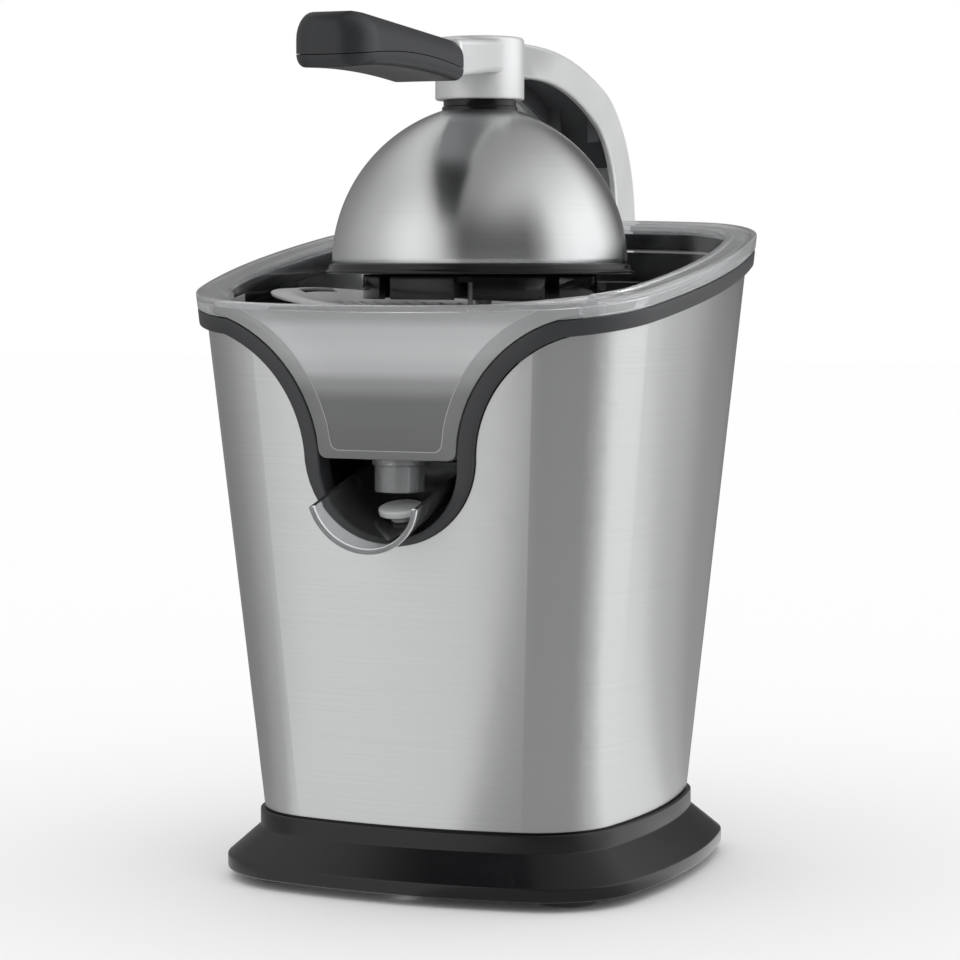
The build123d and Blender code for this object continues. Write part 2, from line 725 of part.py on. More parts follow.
def reamer_cone():
    """Black ribbed cone on a slotted skirt, with a socket for the spindle."""
    tip_z = CONE_Z + CONE_H
    deck_z = CONE_Z - SKIRT_WALL
    inner_r = SKIRT_R - SKIRT_WALL
    nose = (CONE_TIP_R, tip_z - CONE_TIP_R / 2)
    crown = (HUB_R, CONE_Z + CONE_H * HOLLOW_SHARE)
    flank_foot = (CONE_R, CONE_Z)
    hollow_foot = (CONE_R - CONE_WALL, deck_z)
    section = [
        Polyline(crown, (HUB_R, REAMER_Z), (0, REAMER_Z), (0, tip_z), (CONE_TIP_R / 2, tip_z), nose),
        ThreePointArc(nose, cone_middle(0), flank_foot),
        Polyline(flank_foot, (SKIRT_R, CONE_Z), (SKIRT_R, REAMER_Z), (inner_r, REAMER_Z), (inner_r, deck_z)),
        Line((inner_r, deck_z), hollow_foot),
        ThreePointArc(hollow_foot, cone_middle(-CONE_WALL), crown),
    ]
    reamer = revolve(Plane.XZ * make_face(section), Axis.Z)
    slot = Pos(SKIRT_R, 0, REAMER_Z) * Box(4 * SKIRT_WALL, SKIRT_SLOT_W, 2 * SKIRT_SLOT_H)
    reamer = reamer + reamer_ribs() - ring_of(slot, SKIRT_SLOT_COUNT)
    socket = extrude(spindle_section(SLIP_GAP), amount=SOCKET_DEPTH + OVERRUN)
    return reamer - Pos(0, 0, REAMER_Z - OVERRUN) * socket


# Drive


def gearbox_screw_places():
    """Screws at the corners of the gearbox."""
    x = GEARBOX_W / 2 - GEARBOX_SCREW_INSET
    y = GEARBOX_D / 2 - GEARBOX_SCREW_INSET
    corners = [(-x, -y), (x, -y), (x, y), (-x, y)]
    return [Pos(GEARBOX_X + a, GEARBOX_Y + b, 0) for a, b in corners]


def gearbox_slab(low_z, high_z, inset):
    """Rounded block of the gearbox outline, drawn in by an inset."""
    face = RectangleRounded(GEARBOX_W - 2 * inset, GEARBOX_D - 2 * inset, GEARBOX_ROUND - inset)
    return Pos(GEARBOX_X, GEARBOX_Y, low_z) * extrude(face, amount=high_z - low_z)


def gearbox_case():
    """Upper gearbox moulding with the bearing tower that passes through the deck."""
    case = gearbox_slab(GEARBOX_FLOOR_Z, DECK_Z, 0)
    case -= gearbox_slab(GEARBOX_FLOOR_Z, GEARBOX_CEILING_Z, GEARBOX_WALL)
    boss = rod(GEARBOX_BOSS_R, GEARBOX_FLOOR_Z, DECK_Z)
    case += [place * boss for place in gearbox_screw_places()]
    case += rod(TOWER_R, GEARBOX_CEILING_Z, TOWER_TOP_Z)
    case -= rod(BUSH_R, TOWER_TOP_Z - SEAL_T - BUSH_L, TOWER_TOP_Z + OVERRUN)
    case -= rod(SPINDLE_R + SEAM_GAP, GEARBOX_CEILING_Z - OVERRUN, TOWER_TOP_Z)
    case -= Pos(0, IDLER_Y, 0) * rod(AXLE_R, GEARBOX_FLOOR_Z, DECK_Z - SEAM_GAP)
    holes = [place * rod(SCREW_R + SLIP_GAP, GEARBOX_BASE_Z, DECK_Z + OVERRUN) for place in gearbox_screw_places()]
    return case - holes


def gearbox_floor():
    """Lower gearbox plate with the switch lug."""
    plate = gearbox_slab(GEARBOX_BASE_Z, GEARBOX_FLOOR_Z, 0)
    lug_x = SWITCH_X - SWITCH_W / 2 - SWITCH_LUG_T / 2
    lug = Box(SWITCH_LUG_T, SWITCH_D, SWITCH_DROP + SWITCH_H, align=LOW)
    plate += Pos(lug_x, SWITCH_Y, SWITCH_TOP_Z - SWITCH_H) * lug
    plate -= rod(DRIVE_HUB_R + RUN_GAP, GEARBOX_BASE_Z - OVERRUN, GEARBOX_FLOOR_Z + OVERRUN)
    plate -= Pos(0, IDLER_Y, 0) * rod(AXLE_R, GEARBOX_BASE_Z - OVERRUN, GEARBOX_FLOOR_Z + OVERRUN)
    shaft_hole = rod(MOTOR_SHAFT_R + 2 * SEAM_GAP, GEARBOX_BASE_Z - OVERRUN, GEARBOX_FLOOR_Z + OVERRUN)
    plate -= Pos(MOTOR_X, MOTOR_Y, 0) * shaft_hole
    holes = [place * rod(SCREW_R + SLIP_GAP, GEARBOX_BASE_Z - OVERRUN, DECK_Z) for place in gearbox_screw_places()]
    return plate - holes


def gearbox_screws():
    """Long screws that clamp the gearbox to the deck from below."""
    length = DECK_TOP_Z - GEARBOX_BASE_Z - SEAM_GAP
    return [place * Pos(0, 0, GEARBOX_BASE_Z) * screw(length, True) for place in gearbox_screw_places()]


def involute(angle):
    """Involute function of a pressure angle in radians."""
    return math.tan(angle) - angle


def gear_face(teeth, first_deg):
    """Toothed disc with straight flanks drawn between involute points."""
    pitch_r = MODULE * teeth / 2
    base_r = pitch_r * math.cos(math.radians(PRESSURE_DEG))
    tip_r = pitch_r + ADDENDUM_SHARE * MODULE
    root_r = pitch_r - DEDENDUM_SHARE * MODULE
    pitch_half = math.pi / (2 * teeth) - BACKLASH / (2 * pitch_r)
    pitch_inv = involute(math.radians(PRESSURE_DEG))
    points = []
    for k in range(teeth):
        centre = math.radians(first_deg) + 2 * math.pi * k / teeth
        flank = []
        for radius in (root_r, tip_r):
            pressure = math.acos(min(1, base_r / radius))
            flank.append((radius, pitch_half + pitch_inv - involute(pressure)))
        for radius, half in [(r, -h) for r, h in flank] + flank[::-1]:
            points.append((radius * math.cos(centre + half), radius * math.sin(centre + half)))
    return make_face(Polyline(*points, close=True))


def drive_gear():
    """Output gear on its journal, with a bore that drives the spindle's flats."""
    gear = Pos(0, 0, DRIVE_GEAR_Z) * extrude(gear_face(DRIVE_TEETH, 0), amount=DRIVE_GEAR_T)
    gear += rod(DRIVE_HUB_R, GEARBOX_BASE_Z + SEAM_GAP, SPRING_SEAT_Z)
    gear += rod(DRIVE_SHOULDER_R, GEARBOX_FLOOR_Z + SEAM_GAP, DRIVE_GEAR_Z)
    bore_l = SPRING_SEAT_Z - GEARBOX_BASE_Z + 2 * OVERRUN
    bore = extrude(spindle_section(RUN_GAP), amount=bore_l)
    return gear - Pos(0, 0, GEARBOX_BASE_Z - OVERRUN) * bore


def idler_gear():
    """Compound gear: a small pinion that drives the output gear and a large wheel above it."""
    pinion_z = DRIVE_GEAR_Z - (IDLER_PINION_T - DRIVE_GEAR_T) / 2
    pinion = extrude(gear_face(IDLER_PINION_TEETH, 180 / IDLER_PINION_TEETH), amount=IDLER_PINION_T)
    wheel = extrude(gear_face(IDLER_TEETH, MOTOR_BEARING_DEG), amount=IDLER_GEAR_T)
    gear = Pos(0, 0, pinion_z) * pinion + Pos(0, 0, IDLER_GEAR_Z) * wheel
    gear += rod(IDLER_SLEEVE_R, GEARBOX_FLOOR_Z + SEAM_GAP, GEARBOX_CEILING_Z - SEAM_GAP)
    gear -= rod(AXLE_R + RUN_GAP, GEARBOX_FLOOR_Z, GEARBOX_CEILING_Z)
    return Pos(0, IDLER_Y, 0) * gear


def idler_axle():
    """Fixed axle of the compound gear."""
    return Pos(0, IDLER_Y, 0) * rod(AXLE_R, GEARBOX_BASE_Z, DECK_Z - SEAM_GAP)


def drive_spindle():
    """Spindle: flats for the gear and the reamer, a plain bearing length and a spring collar."""
    length = SPINDLE_TOP_Z - SPINDLE_TIP_Z
    flats = Pos(0, 0, SPINDLE_TIP_Z) * extrude(spindle_section(0), amount=length)
    flats += rod(SPINDLE_R, SPINDLE_TURNED_Z, TOWER_TOP_Z)
    return flats + rod(COLLAR_R, COLLAR_LOW_Z, COLLAR_LOW_Z + COLLAR_T)


def spindle_bush():
    """Plain bearing in the tower."""
    return tube(BUSH_R, SPINDLE_R + RUN_GAP, TOWER_TOP_Z - SEAL_T - BUSH_L, TOWER_TOP_Z - SEAL_T)


def spindle_seal():
    """Lip seal on top of the bush."""
    low_z = TOWER_TOP_Z - SEAL_T
    lip_r = SPINDLE_R + SLIP_GAP
    throat_r = (SPINDLE_R + BUSH_R) / 2
    return turned([(lip_r, low_z), (BUSH_R, low_z), (BUSH_R, TOWER_TOP_Z), (throat_r, TOWER_TOP_Z)])


def spindle_spring():
    """Return spring between the output gear and the spindle's collar."""
    low_z = SPRING_SEAT_Z + SPRING_WIRE_R + SLIP_GAP
    height = COLLAR_LOW_Z - SPRING_WIRE_R - SLIP_GAP - low_z
    pitch = height / SPRING_TURNS
    path = Helix(pitch, height, SPRING_R, center=(0, 0, low_z))
    start = Plane(origin=path @ 0, z_dir=path % 0)
    steps = SPRING_TURNS * SPRING_TURN_STEPS
    points = [path @ (k / steps) for k in range(steps + 1)]
    apart = SPRING_TURN_STEPS // 2
    least = min((a - b).length for k, a in enumerate(points) for b in points[k + apart :])
    print("spring gap between turns", round(least - 2 * SPRING_WIRE_R, 2))
    return sweep(start * Circle(SPRING_WIRE_R), path=path, is_frenet=True)


def motor_frame():
    """Motor can with end plates, cooling windows and the boss that meets the gearbox."""
    can = rod(MOTOR_R, MOTOR_LOW_Z, MOTOR_TOP_Z)
    can -= rod(MOTOR_R - MOTOR_WALL, MOTOR_LOW_Z + MOTOR_PLATE_T, MOTOR_TOP_Z - MOTOR_PLATE_T)
    can += rod(MOTOR_BOSS_R, MOTOR_TOP_Z, GEARBOX_BASE_Z)
    window_z = (MOTOR_LOW_Z + MOTOR_TOP_Z) / 2
    side = MOTOR_R - MOTOR_WALL / 2
    window = Pos(side, 0, window_z) * Box(4 * MOTOR_WALL, MOTOR_WINDOW_W, MOTOR_WINDOW_H)
    can -= ring_of(window, MOTOR_WINDOW_COUNT)
    can -= rod(MOTOR_SHAFT_R + RUN_GAP, MOTOR_LOW_Z - OVERRUN, GEARBOX_FLOOR_Z)
    return Pos(MOTOR_X, MOTOR_Y, 0) * can


def motor_stator():
    """Wound stator ring inside the can."""
    mid_z = (MOTOR_LOW_Z + MOTOR_TOP_Z) / 2
    ring = tube(MOTOR_R - MOTOR_WALL, STATOR_R, mid_z - STATOR_L / 2, mid_z + STATOR_L / 2)
    return Pos(MOTOR_X, MOTOR_Y, 0) * ring


def motor_rotor():
    """Rotor core, shaft, pinion and cooling fan in one turning piece."""
    mid_z = (MOTOR_LOW_Z + MOTOR_TOP_Z) / 2
    pinion_z = IDLER_GEAR_Z + (IDLER_GEAR_T - MOTOR_PINION_T) / 2
    fan_top_z = MOTOR_LOW_Z - FAN_DROP
    rotor = rod(MOTOR_SHAFT_R, fan_top_z - FAN_T, pinion_z + MOTOR_PINION_T)
    rotor += rod(ROTOR_R, mid_z - ROTOR_L / 2, mid_z + ROTOR_L / 2)
    first_deg = MOTOR_BEARING_DEG + 180 + 180 / MOTOR_TEETH
    rotor += Pos(0, 0, pinion_z) * extrude(gear_face(MOTOR_TEETH, first_deg), amount=MOTOR_PINION_T)
    rotor += rod(FAN_HUB_R, fan_top_z - FAN_T, fan_top_z)
    blade = Pos(FAN_R / 2, 0, fan_top_z - FAN_T) * Box(FAN_R, FAN_BLADE_T, FAN_T, align=LOW)
    rotor += ring_of(blade, FAN_BLADE_COUNT)
    return Pos(MOTOR_X, MOTOR_Y, 0) * rotor


def start_switch():
    """Switch body under the spindle, screwed to the gearbox lug."""
    body = Box(SWITCH_W, SWITCH_D, SWITCH_H, align=LOW)
    body = Pos(SWITCH_X, SWITCH_Y, SWITCH_TOP_Z - SWITCH_H) * body
    well_z = SPINDLE_TIP_Z - SEAM_GAP - PLUNGER_L - PRESS_TRAVEL - SEAM_GAP
    return body - rod(PLUNGER_R + RUN_GAP, well_z, SWITCH_TOP_Z + OVERRUN)


def switch_plunger():
    """Button that the spindle's tip pushes."""
    top_z = SPINDLE_TIP_Z - SEAM_GAP
    return rod(PLUNGER_R, top_z - PLUNGER_L, top_z)


def cord_inlet():
    """Flanged grommet in the back of the body, ready for a mains lead."""
    flange = rod(INLET_FLANGE_R, SEAM_GAP, SEAM_GAP + INLET_FLANGE_T)
    sleeve = rod(INLET_R, -INLET_L / 2, SEAM_GAP + INLET_FLANGE_T)
    bore = rod(INLET_BORE_R, -INLET_L, INLET_L)
    return inlet_place() * (flange + sleeve - bore)


# Rear hinge


def hinge_bracket():
    """Bracket screwed to the back of the body, with the knuckle inside the arm's cheeks."""
    pad = body_wall(PAD_LOW_Z, PAD_HIGH_Z, -SLIP_GAP - PAD_T, -SLIP_GAP)
    reach = PIVOT_Y / 2
    window = Pos(0, reach + half_at(PAD_LOW_Z) / 2, PAD_LOW_Z - OVERRUN)
    pad &= window * Box(2 * PAD_HALF, PIVOT_Y, SPAN / 4, align=LOW)
    root_y = half_at(PIVOT_Z) + SLIP_GAP + PAD_T / 2
    low_y = half_at(GUSSET_Z) + SLIP_GAP + PAD_T / 2
    front_y = PIVOT_Y - ARM_END_R - HEEL_CLEAR
    side = Polyline(
        (root_y, PIVOT_Z + NECK_HALF_H),
        (PIVOT_Y, PIVOT_Z + NECK_HALF_H),
        (PIVOT_Y, PIVOT_Z - NECK_HALF_H),
        (front_y, PIVOT_Z - NECK_HALF_H),
        (low_y, GUSSET_Z),
        close=True,
    )
    neck = extrude(Plane.YZ * make_face(side), amount=KNUCKLE_HALF, both=True)
    bracket = pad + neck + across(KNUCKLE_R, KNUCKLE_HALF, PIVOT_Y, PIVOT_Z)
    bracket -= across(HINGE_BUSH_R, SPAN / 4, PIVOT_Y, PIVOT_Z)
    return bracket - [place * screw_hole(SCREW_L) for place in pad_screw_places()]


def bracket_screws():
    """Screws through the bracket's pad into the inner housing."""
    return [place * screw(PAD_T + SCREW_L / 2, True) for place in pad_screw_places()]


def hinge_bushes():
    """Two plain bushes in the knuckle."""
    ring = tube(HINGE_BUSH_R, PIN_R + RUN_GAP, KNUCKLE_HALF - HINGE_BUSH_L, KNUCKLE_HALF)
    place = Pos(0, PIVOT_Y, PIVOT_Z)
    return [place * Rot(0, turn, 0) * ring for turn in (90, -90)]


def hinge_pin():
    """Headed pin pressed into the arm's cheeks."""
    pin = across(PIN_R, ARM_HALF, PIVOT_Y, PIVOT_Z)
    head = rod(PIN_HEAD_R, ARM_HALF, ARM_HALF + PIN_HEAD_T)
    place = Pos(0, PIVOT_Y, PIVOT_Z)
    return pin + [place * Rot(0, turn, 0) * head for turn in (90, -90)]


# Press arm


def shoulder_deg(crown_r, shoulder_r, flat_y, end_y):
    """Angle at which the crown arc runs into the shoulder arc."""
    return math.degrees(math.asin((end_y - shoulder_r - flat_y) / (crown_r - shoulder_r)))


def arch_point(top_z, crown_r, shoulder_r, flat_y, end_y, inset, deg):
    """Point of an arch curve, drawn in by an inset, where its normal leans back by an angle."""
    join_deg = shoulder_deg(crown_r, shoulder_r, flat_y, end_y)
    reach = crown_r - shoulder_r
    centre_y = flat_y
    centre_z = top_z - crown_r
    radius = crown_r - inset
    if deg > join_deg:
        centre_y += reach * math.sin(math.radians(join_deg))
        centre_z += reach * math.cos(math.radians(join_deg))
        radius = shoulder_r - inset
    lean = math.radians(deg)
    return (centre_y + radius * math.sin(lean), centre_z + radius * math.cos(lean))


OUTER_ARCH = (ARM_TOP_Z, CROWN_R, SHOULDER_R, ARM_FLAT_Y, ARM_BACK_Y)
UNDER_ARCH = (ARM_UNDER_Z, UNDER_CROWN_R, UNDER_SHOULDER_R, ARM_FLAT_Y, ARM_FRONT_Y)


def arch_curve(arch, inset, start_y, end_deg):
    """Edges of an arch curve from a flat start to the angle where it ends."""
    join_deg = shoulder_deg(*arch[1:])
    points = [arch_point(*arch, inset, deg) for deg in (0, join_deg / 2, join_deg)]
    after = [join_deg + (end_deg - join_deg) * share for share in (0.5, 1)]
    points += [arch_point(*arch, inset, deg) for deg in after]
    flat = Line((start_y, points[0][1]), points[0])
    return [flat, ThreePointArc(*points[:3]), ThreePointArc(*points[2:])], points[-1]


def arm_blank():
    """Solid arch of the arm in side view, from the hub to the rounded hinge end."""
    outer, outer_end = arch_curve(OUTER_ARCH, 0, 0, 90)
    under, under_end = arch_curve(UNDER_ARCH, 0, 0, 90)
    edges = [
        *outer,
        *under,
        Line((0, ARM_TOP_Z), (0, ARM_UNDER_Z)),
        Line(outer_end, (ARM_BACK_Y, PIVOT_Z)),
        Line(under_end, (ARM_FRONT_Y, PIVOT_Z)),
        ThreePointArc((ARM_BACK_Y, PIVOT_Z), (PIVOT_Y, PIVOT_Z - ARM_END_R), (ARM_FRONT_Y, PIVOT_Z)),
    ]
    return extrude(Plane.YZ * make_face(edges), amount=ARM_HALF, both=True)


def arm_channel():
    """Hollow of the arm: open below the crown, in front of the column and under the heel."""
    start_y = PRESS_HUB_R + ARM_WALL
    outer, outer_end = arch_curve(OUTER_ARCH, ARM_WALL, start_y, 90)
    floor_z = PIVOT_Z - 2 * ARM_END_R
    edges = [
        *outer,
        Polyline(outer_end, (ARM_BACK_Y - ARM_WALL, PIVOT_Z), (PIVOT_Y, PIVOT_Z)),
        Polyline((PIVOT_Y, PIVOT_Z), (PIVOT_Y, floor_z), (start_y, floor_z)),
        Line((start_y, floor_z), (start_y, ARM_TOP_Z - ARM_WALL)),
    ]
    half = ARM_HALF - ARM_WALL
    hollow = extrude(Plane.YZ * make_face(edges), amount=half, both=True)
    heel = Pos(0, PIVOT_Y, PIVOT_Z) * Rot(45, 0, 0) * Box(2 * half, SPAN / 4, SPAN / 4, align=Align.MAX)
    heel = Pos(half, 0, 0) * heel & across(2 * ARM_END_R, half, PIVOT_Y, PIVOT_Z)
    return hollow + across(ARM_END_R - ARM_WALL, half, PIVOT_Y, PIVOT_Z) + heel


def front_bar():
    """Bar in front of the hub that carries the grip, with a tang inside it."""
    side = Polyline(
        (0, PRESS_HUB_TOP_Z),
        (-PRESS_HUB_R, ARM_TOP_Z),
        (BAR_END_Y, BAR_TOP_Z),
        (BAR_END_Y, BAR_BOTTOM_Z),
        (-PRESS_HUB_R, BAR_ROOT_Z),
        (0, BAR_ROOT_Z),
        close=True,
    )
    bar = extrude(Plane.YZ * make_face(side), amount=BAR_HALF, both=True)
    tang = Pos(0, BAR_END_Y - TANG_L / 2, TANG_Z) * Box(2 * TANG_HALF, TANG_L, TANG_H)
    return bar + tang - [place * rod(SCREW_R + SLIP_GAP, 0, SPAN) for place in grip_screw_places()]


def lever_arm():
    """Cast arm: channel-section arch, round hub, front bar and tang."""
    hub = rod(PRESS_HUB_R, PRESS_HUB_Z, PRESS_HUB_TOP_Z)
    hub = fillet(hub.edges().sort_by(Axis.Z)[-1], PRESS_HUB_ROUND)
    arm = arm_blank() - arm_channel() + hub + front_bar()
    arm -= rod(CAP_R + SLIP_GAP, PRESS_HUB_TOP_Z - CAP_T, PRESS_HUB_TOP_Z + OVERRUN)
    arm -= rod(STUD_R, PRESS_HUB_Z - OVERRUN, STUD_TOP_Z)
    return arm - across(PIN_R, SPAN / 4, PIVOT_Y, PIVOT_Z)


def arm_liner():
    """Black liner strap under the arch with cross ribs."""
    start_y = LINER_START_Y
    near = ARM_WALL + SLIP_GAP
    upper, upper_end = arch_curve(OUTER_ARCH, near, start_y, LINER_END_DEG)
    lower, lower_end = arch_curve(OUTER_ARCH, near + LINER_T, start_y, LINER_END_DEG)
    top_z = ARM_TOP_Z - near
    ends = [Line(upper_end, lower_end), Line((start_y, top_z), (start_y, top_z - LINER_T))]
    half = ARM_HALF - ARM_WALL - SLIP_GAP
    strap = extrude(Plane.YZ * make_face([*upper, *lower, *ends]), amount=half, both=True)
    under, under_end = arch_curve(UNDER_ARCH, -LINER_SET_BACK, start_y, LINER_END_DEG)
    web_ends = [Line(upper_end, under_end), Line((start_y, top_z), (start_y, ARM_UNDER_Z + LINER_SET_BACK))]
    web = extrude(Plane.YZ * make_face([*upper, *under, *web_ends]), amount=half, both=True)
    pitch = (upper_end[0] - start_y - LINER_RIB_T) / (LINER_RIB_COUNT - 1)
    slices = [
        Pos(0, start_y + LINER_RIB_T / 2 + pitch * k, 0) * Box(SPAN, LINER_RIB_T, SPAN * 2)
        for k in range(LINER_RIB_COUNT)
    ]
    return strap + [web & piece for piece in slices]


def hub_cap():
    """Round-edged cap in the top of the hub."""
    cap = rod(CAP_R, PRESS_HUB_TOP_Z - CAP_T, PRESS_HUB_TOP_Z)
    return fillet(cap.edges().sort_by(Axis.Z)[-1], CAP_CROWN)


# Grip


def grip_screw_places():
    """Grip screws, seated on the underside of the grip and pointing up."""
    length = BAR_END_Y - GRIP_TIP_Y
    return [Pos(0, BAR_END_Y - length * share, GRIP_WAIST_Z) for share in GRIP_SCREW_SHARES]


def grip_blank():
    """Grip outline from its side view and its plan, with a round top and an eased belly."""
    waist_y = (BAR_END_Y + GRIP_TIP_Y) / 2
    tip_y = GRIP_TIP_Y + GRIP_TIP_R
    end_y = BAR_END_Y - SLIP_GAP
    side = [
        Line((end_y, GRIP_ROOT_Z), (end_y, GRIP_TOP_Z)),
        Line((end_y, GRIP_TOP_Z), (GRIP_TIP_Y, GRIP_TIP_TOP_Z)),
        Line((GRIP_TIP_Y, GRIP_TIP_TOP_Z), (GRIP_TIP_Y, GRIP_TIP_Z)),
        ThreePointArc((GRIP_TIP_Y, GRIP_TIP_Z), (waist_y, GRIP_WAIST_Z), (end_y, GRIP_ROOT_Z)),
    ]
    form = extrude(Plane.YZ * make_face(side), amount=GRIP_HALF, both=True)
    plan_l = end_y - GRIP_TIP_Y + GRIP_TIP_R
    plan = Pos(0, GRIP_TIP_Y + plan_l / 2, 0) * RectangleRounded(2 * GRIP_HALF, plan_l, GRIP_TIP_R)
    form &= Pos(0, 0, PRESS_HUB_Z) * extrude(plan, amount=SPAN / 4)
    sides = form.edges().filter_by(lambda edge: edge.center().Y > tip_y or abs(edge.center().X) > 0)
    long_edges = sides.filter_by(lambda edge: edge.center().Y < end_y - SLIP_GAP)
    belly = long_edges.filter_by(lambda edge: edge.bounding_box().max.Z < TANG_Z)
    form = fillet(belly, GRIP_BELLY_ROUND)
    top = form.edges().filter_by(
        lambda edge: edge.bounding_box().min.Z > TANG_Z and edge.center().Y < end_y - SLIP_GAP
    )
    return fillet(top, GRIP_TOP_ROUND)


def seam_block(shift):
    """Everything above the scalloped seam of the grip, moved up by a shift."""
    waist_y = (BAR_END_Y + GRIP_TIP_Y) / 2
    high_z = PRESS_HUB_TOP_Z + OVERRUN
    near_y = BAR_END_Y + OVERRUN
    far_y = GRIP_TIP_Y - OVERRUN
    edges = [
        ThreePointArc((far_y, SEAM_TIP_Z + shift), (waist_y, SEAM_WAIST_Z + shift), (near_y, SEAM_ROOT_Z + shift)),
        Polyline((near_y, SEAM_ROOT_Z + shift), (near_y, high_z), (far_y, high_z), (far_y, SEAM_TIP_Z + shift)),
    ]
    return extrude(Plane.YZ * make_face(edges), amount=SPAN / 4, both=True)


def tang_pocket():
    """Room for the arm's tang inside the grip."""
    pocket = Box(2 * (TANG_HALF + SLIP_GAP), TANG_L + 2 * SLIP_GAP, TANG_H + 2 * SLIP_GAP)
    return Pos(0, BAR_END_Y - TANG_L / 2, TANG_Z) * pocket


def grip_cuts():
    """Tang pocket and screw holes shared by both grip shells."""
    holes = [place * screw_hole(GRIP_SCREW_L) for place in grip_screw_places()]
    sinks = [place * rod(SCREW_HEAD_R + SLIP_GAP, -OVERRUN, SCREW_HEAD_H) for place in grip_screw_places()]
    return [tang_pocket(), *holes, *sinks]


def grip_upper():
    """Upper grip shell."""
    return (grip_blank() & seam_block(SEAM_GAP / 2)) - grip_cuts()


def grip_lower():
    """Lower grip shell, the rounded belly."""
    return grip_blank() - seam_block(-SEAM_GAP / 2) - grip_cuts()


def grip_screws():
    """Two screws up through the belly, the tang and into the upper shell."""
    lift = Pos(0, 0, SCREW_HEAD_H)
    return [place * lift * screw(GRIP_SCREW_L - SCREW_HEAD_H, True) for place in grip_screw_places()]


# Press dome


def dome_outline(outer_r, low_z, top_z, neck_r, shoulder_r):
    """Half outline of a round dome that draws up into a short neck."""
    shoulder_z = DOME_Z + math.sqrt(outer_r**2 - shoulder_r**2)
    mid_r = outer_r * math.sqrt(0.5)
    edges = [
        Polyline((0, top_z), (0, low_z), (outer_r, low_z), (outer_r, DOME_Z)),
        ThreePointArc((outer_r, DOME_Z), (mid_r, DOME_Z + mid_r), (shoulder_r, shoulder_z)),
        Polyline((shoulder_r, shoulder_z), (neck_r, top_z), (0, top_z)),
    ]
    return make_face(edges)


def press_dome():
    """Spun steel dome with a hole for the stud."""
    outer = dome_outline(DOME_R, DOME_Z - SEAM_GAP, DOME_TOP_Z, DOME_NECK_R, DOME_SHOULDER_R)
    inner_r = DOME_R - DOME_T
    inner_neck_r = DOME_NECK_R - DOME_T
    inner = dome_outline(inner_r, DOME_Z - OVERRUN, DOME_TOP_Z - DOME_T, inner_neck_r, DOME_SHOULDER_R - DOME_T)
    dome = revolve(Plane.XZ * outer, Axis.Z) - revolve(Plane.XZ * inner, Axis.Z)
    return dome - rod(STUD_R + SLIP_GAP, DOME_Z, DOME_TOP_Z + OVERRUN)


def press_cup():
    """Black cup that backs the dome, with the ring under the dome's edge and gripping ribs."""
    neck_r = DOME_NECK_R - DOME_T - CUP_GAP
    top_z = DOME_TOP_Z - DOME_T - CUP_GAP
    shoulder_r = DOME_SHOULDER_R - DOME_T - CUP_GAP
    cup = revolve(Plane.XZ * dome_outline(CUP_R, RING_Z, top_z, neck_r, shoulder_r), Axis.Z)
    cup -= Pos(0, 0, DOME_Z) * Sphere(CUP_R - CUP_T)
    cup += tube(RING_R, RING_INNER_R, RING_Z, DOME_Z - SEAM_GAP)
    rib_r = CUP_R - CUP_T / 2
    rib_face = (Circle(rib_r) - Circle(rib_r - CUP_RIB_H)) & Pos(rib_r / 2, rib_r / 2) * Rectangle(rib_r, rib_r)
    rib = Pos(0, 0, DOME_Z) * extrude(Plane.XZ * rib_face, amount=CUP_RIB_T / 2, both=True)
    cup += ring_of(rib - rod(2 * NUT_R, DOME_Z, DOME_TOP_Z), CUP_RIB_COUNT)
    return cup - rod(STUD_R + SLIP_GAP, DOME_Z, DOME_TOP_Z)


def dome_collar():
    """Black collar between the dome and the hub."""
    return tube(DOME_NECK_R, STUD_R + SLIP_GAP, DOME_TOP_Z, PRESS_HUB_Z)


def dome_stud():
    """Stud that hangs the dome from the hub, with its nut."""
    nut_z = DOME_Z + math.sqrt((CUP_R - CUP_T) ** 2 - NUT_R**2) - SLIP_GAP
    stud = rod(STUD_R, nut_z - NUT_T, STUD_TOP_Z)
    nut = extrude(RegularPolygon(NUT_R, 6), amount=NUT_T)
    return stud + Pos(0, 0, nut_z - NUT_T) * nut


# Spout


def spout_blank(inset):
    """Level trough form: round below, flat on top, raked at the tip, drawn in by an inset."""
    radius = SPOUT_R - inset
    centre_z = SPOUT_BOTTOM_Z + SPOUT_R
    length = SPOUT_BACK_Y - SPOUT_TIP_Y - inset
    round_part = Pos(0, SPOUT_BACK_Y - inset, centre_z) * Rot(90, 0, 0) * Cylinder(radius, length, align=LOW)
    lid_z = SPOUT_TOP_Z + (OVERRUN if inset else 0)
    rake_y = SPOUT_TIP_Y + SPOUT_TIP_RAKE
    side = Polyline(
        (SPOUT_BACK_Y, SPOUT_BOTTOM_Z),
        (SPOUT_BACK_Y, lid_z),
        (rake_y, lid_z),
        (SPOUT_TIP_Y, SPOUT_BOTTOM_Z),
        close=True,
    )
    window = extrude(Plane.YZ * make_face(side), amount=SPOUT_R, both=True)
    if inset:
        return round_part + Pos(0, -OVERRUN, 0) * round_part
    return round_part & window


def tip_open(shape):
    """Turn a level spout piece about its trunnions to the open, pouring position."""
    there = Pos(0, SPOUT_PIVOT_Y, SPOUT_PIVOT_Z)
    back = Pos(0, -SPOUT_PIVOT_Y, -SPOUT_PIVOT_Z)
    return there * Rot(SPOUT_OPEN_DEG, 0, 0) * back * shape


def recess_half_at(z):
    """Half width inside the spout recess at a height on its rounded floor."""
    half = U_HALF - TRIM_W
    rise = FLARE_Z - U_BOTTOM - TRIM_SILL
    radius = (half**2 + rise**2) / (2 * rise)
    return math.sqrt(radius**2 - (U_BOTTOM + TRIM_SILL + radius - z) ** 2)


